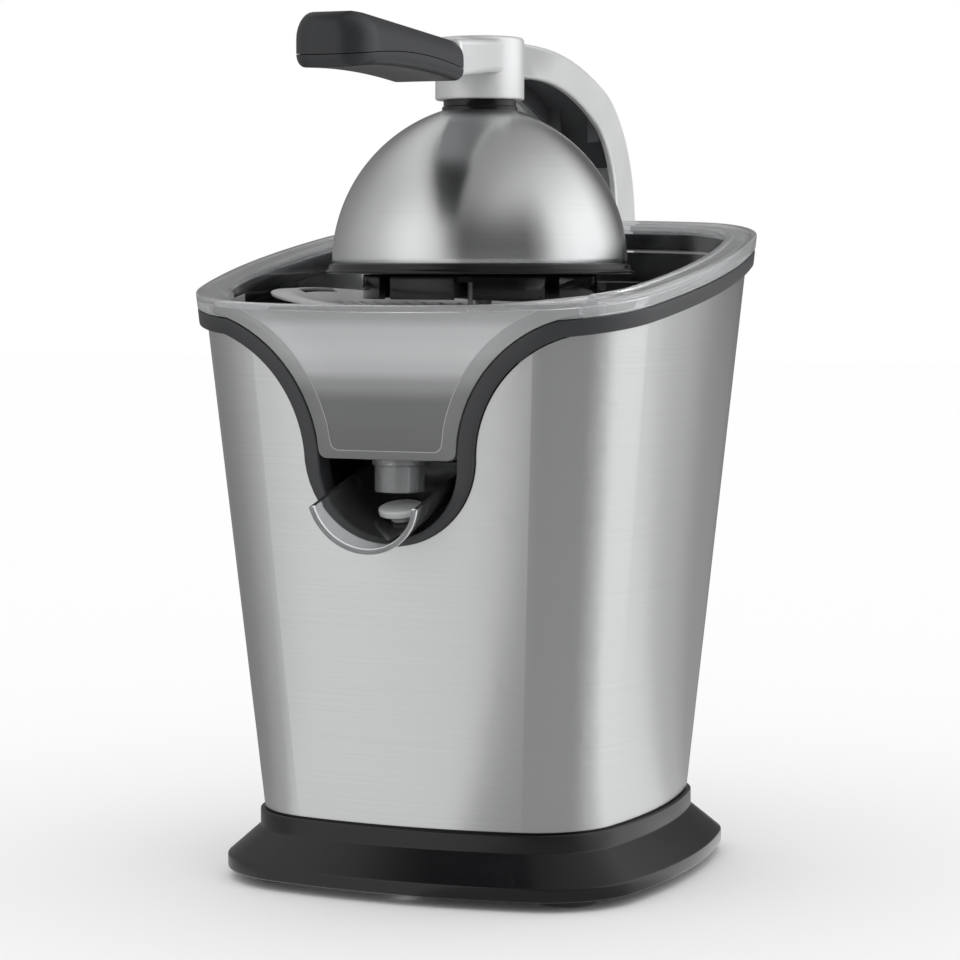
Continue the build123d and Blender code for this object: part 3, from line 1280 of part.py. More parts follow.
def spout_trough():
    """Clear tilting trough with a closed back and two trunnions."""
    trough = spout_blank(0) - spout_blank(SPOUT_WALL)
    pad_reach = recess_half_at(SPOUT_PIVOT_Z - TRUNNION_PAD_R) - SEAM_GAP
    pin_reach = recess_half_at(SPOUT_PIVOT_Z) + TRUNNION_BITE
    ears = across(TRUNNION_PAD_R, pad_reach, SPOUT_PIVOT_Y, SPOUT_PIVOT_Z)
    ears += across(TRUNNION_R, pin_reach, SPOUT_PIVOT_Y, SPOUT_PIVOT_Z)
    centre_z = SPOUT_BOTTOM_Z + SPOUT_R
    bore = Pos(0, 0, centre_z) * Rot(90, 0, 0) * Cylinder(SPOUT_R - SPOUT_WALL, SPAN / 2)
    return tip_open(trough + (ears - bore))


def drip_plug():
    """Grey silicone plug that closes the nozzle when the spout is tipped up."""
    floor_r = SPOUT_R - SPOUT_WALL
    floor_z = SPOUT_BOTTOM_Z + SPOUT_R - math.sqrt(floor_r**2 - PLUG_STEM_R**2) + SLIP_GAP
    disc_z = PLUG_TOP_Z - PLUG_T
    outline = [
        (0, floor_z),
        (PLUG_STEM_R, floor_z),
        (PLUG_STEM_R, disc_z - PLUG_T / 2),
        (PLUG_R, disc_z),
        (PLUG_R, PLUG_TOP_Z),
        (0, PLUG_TOP_Z),
    ]
    return tip_open(Pos(0, NOZZLE_Y, 0) * turned(outline))


PIECES = [
    base_plinth,
    base_plate,
    base_screws,
    rubber_feet,
    body_shell,
    inner_housing,
    bowl_deck,
    top_trim,
    spout_recess,
    juice_bowl,
    bowl_basin,
    bowl_chute,
    strainer,
    reamer_cone,
    gearbox_case,
    gearbox_floor,
    gearbox_screws,
    drive_gear,
    idler_gear,
    idler_axle,
    drive_spindle,
    spindle_bush,
    spindle_seal,
    spindle_spring,
    motor_frame,
    motor_stator,
    motor_rotor,
    start_switch,
    switch_plunger,
    cord_inlet,
    hinge_bracket,
    bracket_screws,
    hinge_bushes,
    hinge_pin,
    lever_arm,
    arm_liner,
    hub_cap,
    grip_upper,
    grip_lower,
    grip_screws,
    press_dome,
    press_cup,
    dome_collar,
    dome_stud,
    spout_trough,
    drip_plug,
]


def main():
    """Build every piece and write it under its own name."""
    os.makedirs("parts", exist_ok=True)
    for make in PIECES:
        made = make()
        shape = Compound(made) if isinstance(made, list) else made
        export_step(shape, f"parts/{make.__name__}.step")


main()
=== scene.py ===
"""Looks of a citrus juicer: finishes, detailed pieces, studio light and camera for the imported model."""

import logging
import math
from dataclasses import dataclass
from enum import Enum

import bpy
from mathutils import Matrix, Vector


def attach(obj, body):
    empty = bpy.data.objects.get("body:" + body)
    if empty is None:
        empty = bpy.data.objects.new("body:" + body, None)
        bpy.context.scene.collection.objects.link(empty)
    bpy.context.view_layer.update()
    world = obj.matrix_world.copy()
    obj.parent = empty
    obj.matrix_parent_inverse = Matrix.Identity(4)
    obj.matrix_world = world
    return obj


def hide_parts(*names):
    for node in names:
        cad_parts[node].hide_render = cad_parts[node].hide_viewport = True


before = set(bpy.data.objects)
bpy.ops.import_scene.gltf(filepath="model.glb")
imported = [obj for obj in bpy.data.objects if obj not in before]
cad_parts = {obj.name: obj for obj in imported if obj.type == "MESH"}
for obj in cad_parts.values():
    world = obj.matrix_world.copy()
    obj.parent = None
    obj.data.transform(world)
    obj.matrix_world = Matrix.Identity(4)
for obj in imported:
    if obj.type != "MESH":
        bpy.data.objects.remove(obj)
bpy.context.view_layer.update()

log = logging.getLogger("juicer")
MM = 0.001
TOUCH = 0.005

Piece = bpy.types.Object
Socket = bpy.types.NodeSocket
Pair = tuple[float, float]
Triple = tuple[float, float, float]
Pairs = tuple[Pair, ...]
Corners = tuple[Triple, ...]


class Body(Enum):
    """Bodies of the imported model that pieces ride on."""

    FRAME = "frame"
    LEVER = "press_lever"
    REAMER = "reamer"
    SPOUT = "spout"


class Board:
    """Short way to place and join nodes in one tree."""

    def __init__(self, tree: bpy.types.NodeTree) -> None:
        """Takes the tree to work in."""
        self.tree = tree

    def add(self, kind: str, **settings: object) -> bpy.types.Node:
        """Adds a node.

        Args:
            kind: Node type without its ShaderNode prefix.
            settings: Node properties to set, such as operation.

        Returns:
            The new node.
        """
        node = self.tree.nodes.new(f"ShaderNode{kind}")
        for key, value in settings.items():
            setattr(node, key, value)
        return node

    def feed(self, node: bpy.types.Node, **inputs: object) -> bpy.types.Node:
        """Sets or links inputs by name, with underscores for spaces.

        Args:
            node: Node to feed.
            inputs: A socket to link, or a constant to set.

        Returns:
            The same node.
        """
        for key, value in inputs.items():
            name = key.replace("_", " ")
            socket = node.inputs[int(name)] if name.isdigit() else node.inputs[name]
            if isinstance(value, Socket):
                self.tree.links.new(value, socket)
            else:
                socket.default_value = value
        return node

    def math(self, operation: str, a: object, b: object = 0.0) -> Socket:
        """Adds a Math node and returns its result."""
        node = self.add("Math", operation=operation)
        for socket, value in zip(node.inputs, (a, b)):
            if isinstance(value, Socket):
                self.tree.links.new(value, socket)
            else:
                socket.default_value = value
        return node.outputs[0]

    def span(self, value: Socket, low: float, high: float) -> Socket:
        """Maps a value from 0..1 to a range."""
        node = self.feed(self.add("MapRange"), Value=value, To_Min=low, To_Max=high)
        return node.outputs["Result"]

    def blend(self, share: Socket, first: tuple, second: tuple) -> Socket:
        """Mixes two colours by a share and returns the result."""
        node = self.add("Mix", data_type="RGBA")
        self.tree.links.new(share, node.inputs["Factor"])
        # The colour sockets of a Mix node are its seventh and eighth inputs.
        node.inputs[6].default_value = (*first, 1.0)
        node.inputs[7].default_value = (*second, 1.0)
        return node.outputs[2]

    def bump(self, height: Socket, strength: float, distance: float) -> Socket:
        """Adds a Bump node and returns its normal."""
        node = self.feed(self.add("Bump"), Height=height, Strength=strength, Distance=distance)
        return node.outputs[0]

    def ramp(
        self, share: Socket, stops: list[tuple[float, tuple]], interpolation: str = "LINEAR"
    ) -> Socket:
        """Adds a colour ramp.

        Args:
            share: Place on the ramp, from 0 to 1.
            stops: Place and colour of each stop.
            interpolation: How the ramp runs between its stops.

        Returns:
            The colour at the share.
        """
        node = self.feed(self.add("ValToRGB"), Fac=share)
        node.color_ramp.interpolation = interpolation
        elements = node.color_ramp.elements
        while len(elements) < len(stops):
            elements.new(0.5)
        for element, (at, color) in zip(elements, stops):
            element.position = at
            element.color = (*color, 1.0)
        return node.outputs["Color"]


def new_group(name: str, inputs: dict[str, str], outputs: dict[str, str]) -> tuple[Board, dict, dict]:
    """Starts a shader node group.

    Args:
        name: Name of the group.
        inputs: Socket names and types.
        outputs: Socket names and types.

    Returns:
        The board, the group's input sockets by name and its output sockets by name.
    """
    tree = bpy.data.node_groups.new(name, "ShaderNodeTree")
    for way, sockets in (("INPUT", inputs), ("OUTPUT", outputs)):
        for label, kind in sockets.items():
            tree.interface.new_socket(name=label, in_out=way, socket_type=f"NodeSocket{kind}")
    entry = tree.nodes.new("NodeGroupInput")
    leave = tree.nodes.new("NodeGroupOutput")
    return Board(tree), {s.name: s for s in entry.outputs}, {s.name: s for s in leave.inputs}


def brush_group() -> bpy.types.NodeTree:
    """Builds or returns the group that draws fine lines along the first two axes of its vector."""
    if group := bpy.data.node_groups.get("brush_lines"):
        return group
    board, entry, leave = new_group(
        "brush_lines", {"Vector": "Vector", "Along": "Float", "Across": "Float"}, {"Lines": "Float"}
    )
    parts = board.feed(board.add("SeparateXYZ"), Vector=entry["Vector"])
    along_x = board.math("MULTIPLY", parts.outputs["X"], entry["Along"])
    along_y = board.math("MULTIPLY", parts.outputs["Y"], entry["Along"])
    across = board.math("MULTIPLY", parts.outputs["Z"], entry["Across"])
    stretched = board.feed(board.add("CombineXYZ"), X=along_x, Y=along_y, Z=across)
    noise = board.add("TexNoise")
    board.feed(noise, Vector=stretched.outputs[0], Scale=1.0, Detail=4.0, Roughness=0.7)
    board.tree.links.new(noise.outputs["Fac"], leave["Lines"])
    return board.tree


def grain_group() -> bpy.types.NodeTree:
    """Builds or returns the group that gives fine moulded or cast grain with soft handling marks."""
    if group := bpy.data.node_groups.get("moulded_grain"):
        return group
    board, entry, leave = new_group(
        "moulded_grain",
        {"Vector": "Vector", "Grain Scale": "Float"},
        {"Grain": "Float", "Marks": "Float"},
    )
    grain = board.add("TexNoise")
    board.feed(grain, Vector=entry["Vector"], Scale=entry["Grain Scale"], Detail=3.0, Roughness=0.6)
    marks = board.add("TexNoise")
    board.feed(marks, Vector=entry["Vector"], Scale=22.0, Detail=3.0, Distortion=0.4)
    board.tree.links.new(grain.outputs["Fac"], leave["Grain"])
    board.tree.links.new(marks.outputs["Fac"], leave["Marks"])
    return board.tree


@dataclass(frozen=True)
class Finish:
    """A finish with the record's slot that it dresses."""

    name: str
    slot: str
    color: Triple
    roughness: float

    def start(self) -> tuple[bpy.types.Material, Board, bpy.types.Node, Socket]:
        """Makes an empty material.

        Returns:
            The material, its board, its Principled node and the Object coordinate socket.
        """
        material = bpy.data.materials.new(self.name)
        material.use_nodes = True
        board = Board(material.node_tree)
        shader = material.node_tree.nodes["Principled BSDF"]
        board.feed(shader, Base_Color=(*self.color, 1.0), Roughness=self.roughness)
        return material, board, shader, board.add("TexCoord").outputs["Object"]

    def material(self) -> bpy.types.Material:
        """Builds the material once and returns it."""
        return bpy.data.materials.get(self.name) or self.build()

    def build(self) -> bpy.types.Material:
        """Builds the material. Each kind of finish has its own."""
        raise NotImplementedError

    def shades(self, low: float, high: float) -> tuple[tuple, tuple]:
        """Darker and lighter colour of the finish, as shares of its own."""
        dark, light = (tuple(min(1.0, share * c) for c in self.color) for share in (low, high))
        return dark, light

    def dress(self, obj: Piece) -> None:
        """Puts the material on every face of an object."""
        obj.data.materials.clear()
        obj.data.materials.append(self.material())


class Lay(Enum):
    """How brush lines lie on a metal piece."""

    LEVEL = "level"
    ROUND = "round"


@dataclass(frozen=True)
class Brushed(Finish):
    """Brushed metal with lines that run level round the piece or in rings round its axis."""

    lay: Lay = Lay.LEVEL
    across: float = 2600.0
    along: float = 7.0
    depth: float = 0.05
    stretch: float = 0.92

    def build(self) -> bpy.types.Material:
        """Builds the brushed metal."""
        material, board, shader, place = self.start()
        vector = place
        if self.lay is Lay.ROUND:
            parts = board.feed(board.add("SeparateXYZ"), Vector=place)
            squares = [board.math("MULTIPLY", parts.outputs[a], parts.outputs[a]) for a in ("X", "Y")]
            radius = board.math("SQRT", board.math("ADD", *squares))
            height = board.math("SUBTRACT", parts.outputs["Z"], radius)
            ring = board.add("CombineXYZ")
            vector = board.feed(ring, X=parts.outputs["X"], Y=parts.outputs["Y"], Z=height).outputs[0]
        lines = board.add("Group", node_tree=brush_group())
        board.feed(lines, Vector=vector, Along=self.along, Across=self.across)
        line = lines.outputs["Lines"]
        board.feed(
            shader,
            Base_Color=board.blend(line, *self.shades(0.93, 1.06)),
            Roughness=board.span(line, self.roughness - 0.03, self.roughness + 0.04),
            Metallic=1.0,
            Anisotropic=self.stretch,
            Anisotropic_Rotation=0.25,
            Tangent=board.add("Tangent", direction_type="RADIAL", axis="Z").outputs[0],
            Normal=board.bump(line, self.depth, 0.0004),
        )
        return material


@dataclass(frozen=True)
class Grained(Finish):
    """Moulded plastic, rubber or cast metal with fine grain and soft handling marks."""

    metallic: float = 0.0
    grain: float = 1400.0
    depth: float = 0.08
    coat: float = 0.0
    specular: float = 0.5

    def build(self) -> bpy.types.Material:
        """Builds the grained finish."""
        material, board, shader, place = self.start()
        group = board.add("Group", node_tree=grain_group())
        board.feed(group, Vector=place, Grain_Scale=self.grain)
        marks = group.outputs["Marks"]
        board.feed(
            shader,
            Base_Color=board.blend(marks, *self.shades(0.85, 1.12)),
            Roughness=board.span(marks, self.roughness - 0.05, self.roughness + 0.07),
            Metallic=self.metallic,
            Coat_Weight=self.coat,
            Specular_IOR_Level=self.specular,
            Coat_Roughness=0.12,
            Normal=board.bump(group.outputs["Grain"], self.depth, 0.0003),
        )
        return material


@dataclass(frozen=True)
class Clear(Finish):
    """Clear moulded plastic with faint flow marks."""

    transmission: float = 1.0
    ior: float = 1.49
    flow: float = 30.0

    def build(self) -> bpy.types.Material:
        """Builds the clear plastic."""
        material, board, shader, place = self.start()
        group = board.add("Group", node_tree=grain_group())
        board.feed(group, Vector=place, Grain_Scale=self.flow)
        board.feed(
            shader,
            Roughness=board.span(group.outputs["Marks"], self.roughness * 0.6, self.roughness * 1.5),
            IOR=self.ior,
            Transmission_Weight=self.transmission,
            Normal=board.bump(group.outputs["Grain"], 0.03, 0.001),
        )
        return material


@dataclass(frozen=True)
class MilkyWithPaintedShade(Clear):
    """Clear plastic, partly milky, with painted light and shade by height: painted light in the middle of
    the pane, painted shade deep below.
    """

    low_z: float = 0.170
    high_z: float = 0.230
    painted_shade_levels: Pairs = (
        (0.0, 0.25), (0.38, 0.27), (0.50, 0.50), (0.60, 0.84), (0.70, 0.93), (0.84, 0.88),
        (0.93, 0.62), (1.0, 0.55),
    )

    def build(self) -> bpy.types.Material:
        """Builds the clear plastic and paints light and shade into its colour by height."""
        material = super().build()
        board = Board(material.node_tree)
        place = board.add("TexCoord").outputs["Object"]
        height = board.feed(board.add("SeparateXYZ"), Vector=place).outputs["Z"]
        share = board.feed(board.add("MapRange"), Value=height, From_Min=self.low_z, From_Max=self.high_z)
        # Painted light and shade: each level lightens or darkens the colour at a height, lightest in the
        # middle of the pane and darkest at the bottom.
        stops = [(at, tuple(level * c for c in self.color)) for at, level in self.painted_shade_levels]
        painted_shade_colour = board.ramp(share.outputs["Result"], stops, "EASE")
        board.feed(material.node_tree.nodes["Principled BSDF"], Base_Color=painted_shade_colour)
        return material


BODY_STEEL = Brushed("brushed_body_steel", "body_steel", (0.63, 0.635, 0.64), 0.25)
DOME_STEEL = Brushed("spun_dome_steel", "dome_steel", (0.66, 0.665, 0.67), 0.22, lay=Lay.ROUND)
STRAINER_STEEL = Grained(
    "pressed_strainer_steel", "strainer_steel", (0.82, 0.82, 0.82), 0.3, metallic=0.6, depth=0.02
)
SHAFT_STEEL = Brushed("turned_shaft_steel", "shaft_steel", (0.55, 0.55, 0.54), 0.28)
PLATED_STEEL = Grained("plated_screw_steel", "fastener_steel", (0.6, 0.6, 0.6), 0.24, metallic=1.0)
CAST_SILVER = Grained(
    "satin_cast_silver", "cast_silver", (0.66, 0.665, 0.67), 0.36, metallic=0.6, depth=0.06
)
BLACK_SATIN = Grained(
    "satin_black_moulding", "black_plastic", (0.011, 0.0115, 0.013), 0.32, depth=0.02, specular=0.4
)
BLACK_TRIM = Grained("satin_black_trim", "black_plastic", (0.024, 0.025, 0.027), 0.36, depth=0.02)
# Painted light: the arm's black liner is given a grey colour so that it reads as lit inside the shaded
# arch.
BLACK_LINER_LIT = Grained("black_liner_painted_light", "black_plastic", (0.085, 0.088, 0.093), 0.5, depth=0.02)
BLACK_POCKET = Grained(
    "deep_black_pocket", "black_plastic", (0.005, 0.005, 0.006), 0.3, depth=0.02, specular=0.3
)
BLACK_BASE = Grained(
    "polished_black_base", "black_plastic", (0.004, 0.004, 0.005), 0.2, depth=0.02, specular=0.45
)
BLACK_GRIP = Grained(
    "soft_black_grip", "black_plastic", (0.017, 0.018, 0.02), 0.36, depth=0.03, specular=0.4
)
BLACK_GLOSS = Grained(
    "gloss_black_moulding", "black_plastic", (0.006, 0.006, 0.007), 0.12, depth=0.02, specular=0.35
)
INNER_BLACK = Grained("inner_black_moulding", "inner_plastic", (0.016, 0.016, 0.017), 0.45, depth=0.02)
CLEAR_BOWL = Clear("clear_basin", "clear_plastic", (0.9, 0.91, 0.92), 0.03)
CLEAR_RIM = Clear("clear_rim", "clear_plastic", (0.9, 0.91, 0.92), 0.03, transmission=0.82)
# The pane and its side bands carry painted light and shade by height; the side bands are painted a little
# lighter low down and darker higher up than the middle of the pane.
CLEAR_PANE = MilkyWithPaintedShade("clear_front_pane", "clear_plastic", (0.9, 0.91, 0.92), 0.05, transmission=0.56)
CLEAR_SIDE = MilkyWithPaintedShade(
    "clear_pane_side",
    "clear_plastic",
    (0.9, 0.91, 0.92),
    0.05,
    transmission=0.56,
    painted_shade_levels=((0.0, 0.31), (0.42, 0.34), (0.58, 0.55), (0.72, 0.66), (1.0, 0.52)),
)
# Painted highlight: a lighter clear finish for the thin strip along the pane's creases, standing in for
# the bright lines that light makes there.
CLEAR_CREASE_HIGHLIGHT = Clear("clear_crease_painted_highlight", "clear_plastic", (0.92, 0.93, 0.94), 0.05, transmission=0.66)
# Painted highlight: a whiter, less clear finish for the rolled lip of the trough, standing in for the
# bright reflections along its edge.
CLEAR_EDGE_HIGHLIGHT = Clear("clear_edge_painted_highlight", "clear_plastic", (0.95, 0.96, 0.97), 0.04, transmission=0.4)
CLEAR_NOZZLE = Clear("clear_nozzle", "clear_plastic", (0.95, 0.96, 0.97), 0.02, transmission=0.9)
CLEAR_SPOUT = Clear("clear_spout", "clear_plastic", (0.7, 0.71, 0.72), 0.03, transmission=0.98)
NYLON = Grained("natural_nylon", "gear_plastic", (0.82, 0.8, 0.72), 0.42)
BRONZE = Grained("sintered_bronze", "bush_bronze", (0.62, 0.44, 0.22), 0.4, metallic=1.0)
COPPER = Grained("varnished_winding", "winding", (0.5, 0.22, 0.1), 0.35, metallic=0.7)
ZINC = Grained("zinc_plated_can", "motor_case", (0.42, 0.43, 0.44), 0.4, metallic=0.9)
RUBBER = Grained("matt_rubber", "rubber", (0.03, 0.03, 0.03), 0.7, depth=0.2)
SILICONE = Grained("grey_silicone", "silicone", (0.55, 0.56, 0.56), 0.5, depth=0.05)

NODES_BY_FINISH = (
    (BODY_STEEL, "body_shell"),
    (DOME_STEEL, "press_dome"),
    (STRAINER_STEEL, "strainer"),
    (SHAFT_STEEL, "idler_axle drive_spindle spindle_spring motor_rotor hinge_pin dome_stud"),
    (PLATED_STEEL, "base_screws gearbox_screws bracket_screws grip_screws"),
    (CAST_SILVER, "lever_arm"),
    (BLACK_SATIN, "base_plinth hinge_bracket hub_cap grip_upper grip_lower"),
    (BLACK_TRIM, "top_trim"),
    (BLACK_LINER_LIT, "arm_liner"),
    (BLACK_POCKET, "spout_recess"),
    (BLACK_GLOSS, "reamer_cone press_cup dome_collar"),
    (INNER_BLACK, "base_plate inner_housing bowl_deck gearbox_case gearbox_floor start_switch"),
    (CLEAR_BOWL, "bowl_basin"),
    (CLEAR_RIM, "juice_bowl"),
    (CLEAR_PANE, "bowl_chute"),
    (CLEAR_SPOUT, "spout_trough"),
    (NYLON, "drive_gear idler_gear switch_plunger"),
    (BRONZE, "spindle_bush hinge_bushes"),
    (COPPER, "motor_stator"),
    (ZINC, "motor_frame"),
    (RUBBER, "rubber_feet spindle_seal cord_inlet"),
    (SILICONE, "drip_plug"),
)
NODE_FINISH = {node: finish for finish, nodes in NODES_BY_FINISH for node in nodes.split()}


class Bench:
    """Hand tools for modelling, in millimetres. A new piece stays in edit mode until it is closed."""

    @staticmethod
    def rounded(corners: list[Triple], steps: int = 4) -> list[Vector]:
        """Rounds the corners of an outline.

        Args:
            corners: Two coordinates and a radius for each corner.
            steps: Divisions of each rounded corner.

        Returns:
            The points of the rounded outline.
        """
        points = []
        for k, (a, b, radius) in enumerate(corners):
            here = Vector((a, b))
            if not radius:
                points.append(here)
                continue
            before = (Vector(corners[k - 1][:2]) - here).normalized()
            after = (Vector(corners[(k + 1) % len(corners)][:2]) - here).normalized()
            half = before.angle(after) / 2
            centre = here + (before + after).normalized() * radius / math.sin(half)
            first = here + before * radius / math.tan(half) - centre
            last = here + after * radius / math.tan(half) - centre
            sweep = first.angle(last)
            for i in range(steps + 1):
                share = i / steps
                lean = first * math.sin((1 - share) * sweep) + last * math.sin(share * sweep)
                points.append(centre + lean / math.sin(sweep))
        return points

    @staticmethod
    def rectangle(left: float, right: float, low: float, high: float) -> list[Pair]:
        """Corners of a rectangle, in order."""
        return [(left, low), (right, low), (right, high), (left, high)]

    @staticmethod
    def chain(name: str, points: list[Vector]) -> Piece:
        """Draws a line of vertices from point to point and leaves it selected in edit mode.

        Args:
            name: Name of the new piece.
            points: Points in millimetres. Repeating the first one at the end closes the line.

        Returns:
            The new piece.
        """
        bpy.ops.object.select_all(action="DESELECT")
        bpy.ops.mesh.primitive_plane_add(size=0.01)
        piece = bpy.context.object
        piece.name = piece.data.name = name
        bpy.ops.object.mode_set(mode="EDIT")
        bpy.ops.mesh.select_all(action="SELECT")
        bpy.ops.mesh.merge(type="CENTER")
        bpy.ops.transform.translate(value=points[0] * MM)
        for here, there in zip(points, points[1:]):
            bpy.ops.mesh.extrude_vertices_move(TRANSFORM_OT_translate={"value": (there - here) * MM})
        bpy.ops.mesh.select_all(action="SELECT")
        if (points[0] - points[-1]).length < TOUCH:
            bpy.ops.mesh.remove_doubles(threshold=TOUCH * MM)
        return piece

    @staticmethod
    def close(piece: Piece, angle: float = 32.0) -> Piece:
        """Merges doubles, turns faces outwards, leaves edit mode and smooths the shading."""
        bpy.ops.mesh.select_all(action="SELECT")
        bpy.ops.mesh.remove_doubles(threshold=TOUCH * MM)
        bpy.ops.mesh.normals_make_consistent(inside=False)
        bpy.ops.object.mode_set(mode="OBJECT")
        return Bench.smooth(piece, angle)

    @staticmethod
    def pick(piece: Piece) -> None:
        """Selects one piece alone and makes it the active one."""
        bpy.ops.object.select_all(action="DESELECT")
        piece.select_set(True)
        bpy.context.view_layer.objects.active = piece

    @staticmethod
    def smooth(piece: Piece, angle: float = 32.0) -> Piece:
        """Smooths the shading of a piece wherever faces meet at less than an angle."""
        Bench.pick(piece)
        bpy.ops.object.shade_smooth_by_angle(angle=math.radians(angle))
        return piece

    @staticmethod
    def lathe(
        name: str, profile: list[Vector], steps: int, at: Vector = Vector(), lean: float = 0.0
    ) -> Piece:
        """Turns a profile of radius and height about an upright or forward-leaning axis.

        Args:
            name: Name of the new piece.
            profile: Radius and height of each point.
            steps: Divisions round the axis.
            at: Foot of the axis.
            lean: Angle in degrees that the axis leans about X.

        Returns:
            The new piece.
        """
        axis = Matrix.Rotation(math.radians(lean), 3, "X") @ Vector((0, 0, 1))
        piece = Bench.chain(name, [at + Vector((r, 0, 0)) + axis * z for r, z in profile])
        bpy.ops.mesh.spin(steps=steps, angle=2 * math.pi, center=at * MM, axis=axis)
        return Bench.close(piece)

    @staticmethod
    def rod(
        name: str, radius: float, low: float, high: float, steps: int, at: Vector = Vector()
    ) -> Piece:
        """Upright round bar between two heights.

        Args:
            name: Name of the new piece.
            radius: Radius of the bar.
            low: Height of its foot.
            high: Height of its top.
            steps: Divisions round the axis.
            at: Place of the axis.

        Returns:
            The new piece.
        """
        profile = [Vector(p) for p in Bench.rectangle(0.0, radius, low, high)]
        return Bench.lathe(name, profile, steps, at)

    @staticmethod
    def prism(name: str, outline: list[Vector], push: Vector) -> Piece:
        """Fills a closed outline and pushes it out into a solid."""
        piece = Bench.chain(name, [*outline, outline[0]])
        bpy.ops.mesh.edge_face_add()
        bpy.ops.mesh.extrude_region_move(TRANSFORM_OT_translate={"value": push * MM})
        return Bench.close(piece)

    @staticmethod
    def grow(scale: Vector, centre: Vector, move: Vector) -> None:
        """Extrudes the selected ring or face, resizes it about a centre and moves it."""
        bpy.ops.mesh.extrude_region_move(TRANSFORM_OT_translate={"value": (0.0, 0.0, 0.0)})
        bpy.ops.transform.resize(value=scale, center_override=centre * MM)
        bpy.ops.transform.translate(value=move * MM)

    @staticmethod
    def ribbon(
        name: str, upper: list[Vector], lower: list[Vector], depth: float, width: float, segments: int
    ) -> Piece:
        """Bridges two closed lines into a ribbon, thickens it inwards and rounds its edges.

        Args:
            name: Name of the new piece.
            upper: First closed line, without the repeated end point.
            lower: Second closed line.
            depth: Thickness of the ribbon.
            width: Rounding of its edges.
            segments: Divisions of the rounding.

        Returns:
            The new piece.
        """
        other = Bench.chain(f"{name}_edge", [*upper, upper[0]])
        bpy.ops.object.mode_set(mode="OBJECT")
        piece = Bench.chain(name, [*lower, lower[0]])
        bpy.ops.object.mode_set(mode="OBJECT")
        Bench.join(piece, other)
        bpy.ops.object.mode_set(mode="EDIT")
        bpy.ops.mesh.select_all(action="SELECT")
        bpy.ops.mesh.bridge_edge_loops()
        Bench.close(piece)
        Bench.thicken(piece, depth, -1.0)
        return Bench.ease(piece, width, segments, 50.0)

    @staticmethod
    def blades(
        name: str, outline: list[Vector], thickness: float, count: int, start: float = 0.0
    ) -> list[Piece]:
        """Upright blades of a radius and height outline, set round the axis."""
        pieces = []
        for k in range(count):
            turn = Matrix.Rotation(math.radians(start) + 2 * math.pi * k / count, 3, "Z")
            side = turn @ Vector((0, thickness, 0))
            line = [turn @ Vector((r, 0, z)) - side / 2 for r, z in outline]
            pieces.append(Bench.prism(f"{name}_{k}", line, side))
        return pieces

    @staticmethod
    def through(first: Vector, middle: Vector, last: Vector, steps: int) -> list[Vector]:
        """Points of the arc that runs through three points."""
        a = middle - first
        b = last - first
        cross = 2 * (a.x * b.y - a.y * b.x)
        along = b.y * a.length_squared - a.y * b.length_squared
        up = a.x * b.length_squared - b.x * a.length_squared
        centre = first + Vector((along, up)) / cross
        start = math.atan2(first.y - centre.y, first.x - centre.x)
        stop = math.atan2(last.y - centre.y, last.x - centre.x)
        radius = (first - centre).length
        turns = [start + (stop - start) * k / steps for k in range(steps + 1)]
        return [centre + Vector((math.cos(t), math.sin(t))) * radius for t in turns]

    @staticmethod
    def modify(piece: Piece, kind: str, **settings: object) -> Piece:
        """Adds a modifier to a piece and applies it."""
        Bench.pick(piece)
        modifier = piece.modifiers.new(kind.lower(), kind)
        for key, value in settings.items():
            setattr(modifier, key, value)
        bpy.ops.object.modifier_apply(modifier=modifier.name)
        return piece

    @staticmethod
    def thicken(piece: Piece, depth: float, offset: float = 0.0) -> Piece:
        """Gives a sheet its thickness, to both sides or, with an offset of -1, inwards."""
        return Bench.modify(piece, "SOLIDIFY", thickness=depth * MM, offset=offset, use_even_offset=True)

    @staticmethod
    def combine(piece: Piece, tool: Piece, operation: str) -> Piece:
        """Cuts, joins or trims a piece with a tool piece, which is used up."""
        Bench.modify(piece, "BOOLEAN", operation=operation, object=tool, solver="EXACT")
        bpy.data.objects.remove(tool)
        return piece

    @staticmethod
    def ease(piece: Piece, width: float, segments: int = 3, angle: float = 40.0) -> Piece:
        """Rounds the sharp edges of a piece."""
        Bench.modify(
            piece,
            "BEVEL",
            width=width * MM,
            segments=segments,
            limit_method="ANGLE",
            angle_limit=math.radians(angle),
        )
        return Bench.smooth(piece)

    @staticmethod
    def trim_below_rim(piece: Piece, drop: float) -> Piece:
        """Cuts away all of a piece above a plane that lies under the sloping rim by a drop."""
        Bench.pick(piece)
        bpy.ops.object.mode_set(mode="EDIT")
        bpy.ops.mesh.select_all(action="SELECT")
        lean = math.radians(FORM.slope)
        bpy.ops.mesh.bisect(
            plane_co=(0.0, 0.0, FORM.plane_z(drop) * MM),
            plane_no=(0.0, -math.sin(lean), math.cos(lean)),
            use_fill=True,
            clear_outer=True,
        )
        return Bench.close(piece)

    @staticmethod
    def copy(piece: Piece, name: str) -> Piece:
        """Copies a piece with a mesh of its own."""
        Bench.pick(piece)
        bpy.ops.object.duplicate()
        twin = bpy.context.object
        twin.name = twin.data.name = name
        return twin

    @staticmethod
    def join(piece: Piece, *others: Piece) -> Piece:
        """Joins other pieces into the first."""
        Bench.pick(piece)
        for other in others:
            other.select_set(True)
        bpy.ops.object.join()
        return piece

    @staticmethod
    def show(piece: Piece, body: Body, finish: Finish, *nodes: str) -> None:
        """Dresses a finished piece, hangs it on its body and lets it stand for its nodes."""
        finish.dress(piece)
        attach(piece, body.value)
        if nodes:
            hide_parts(*nodes)
        log.info("built %s", piece.name)


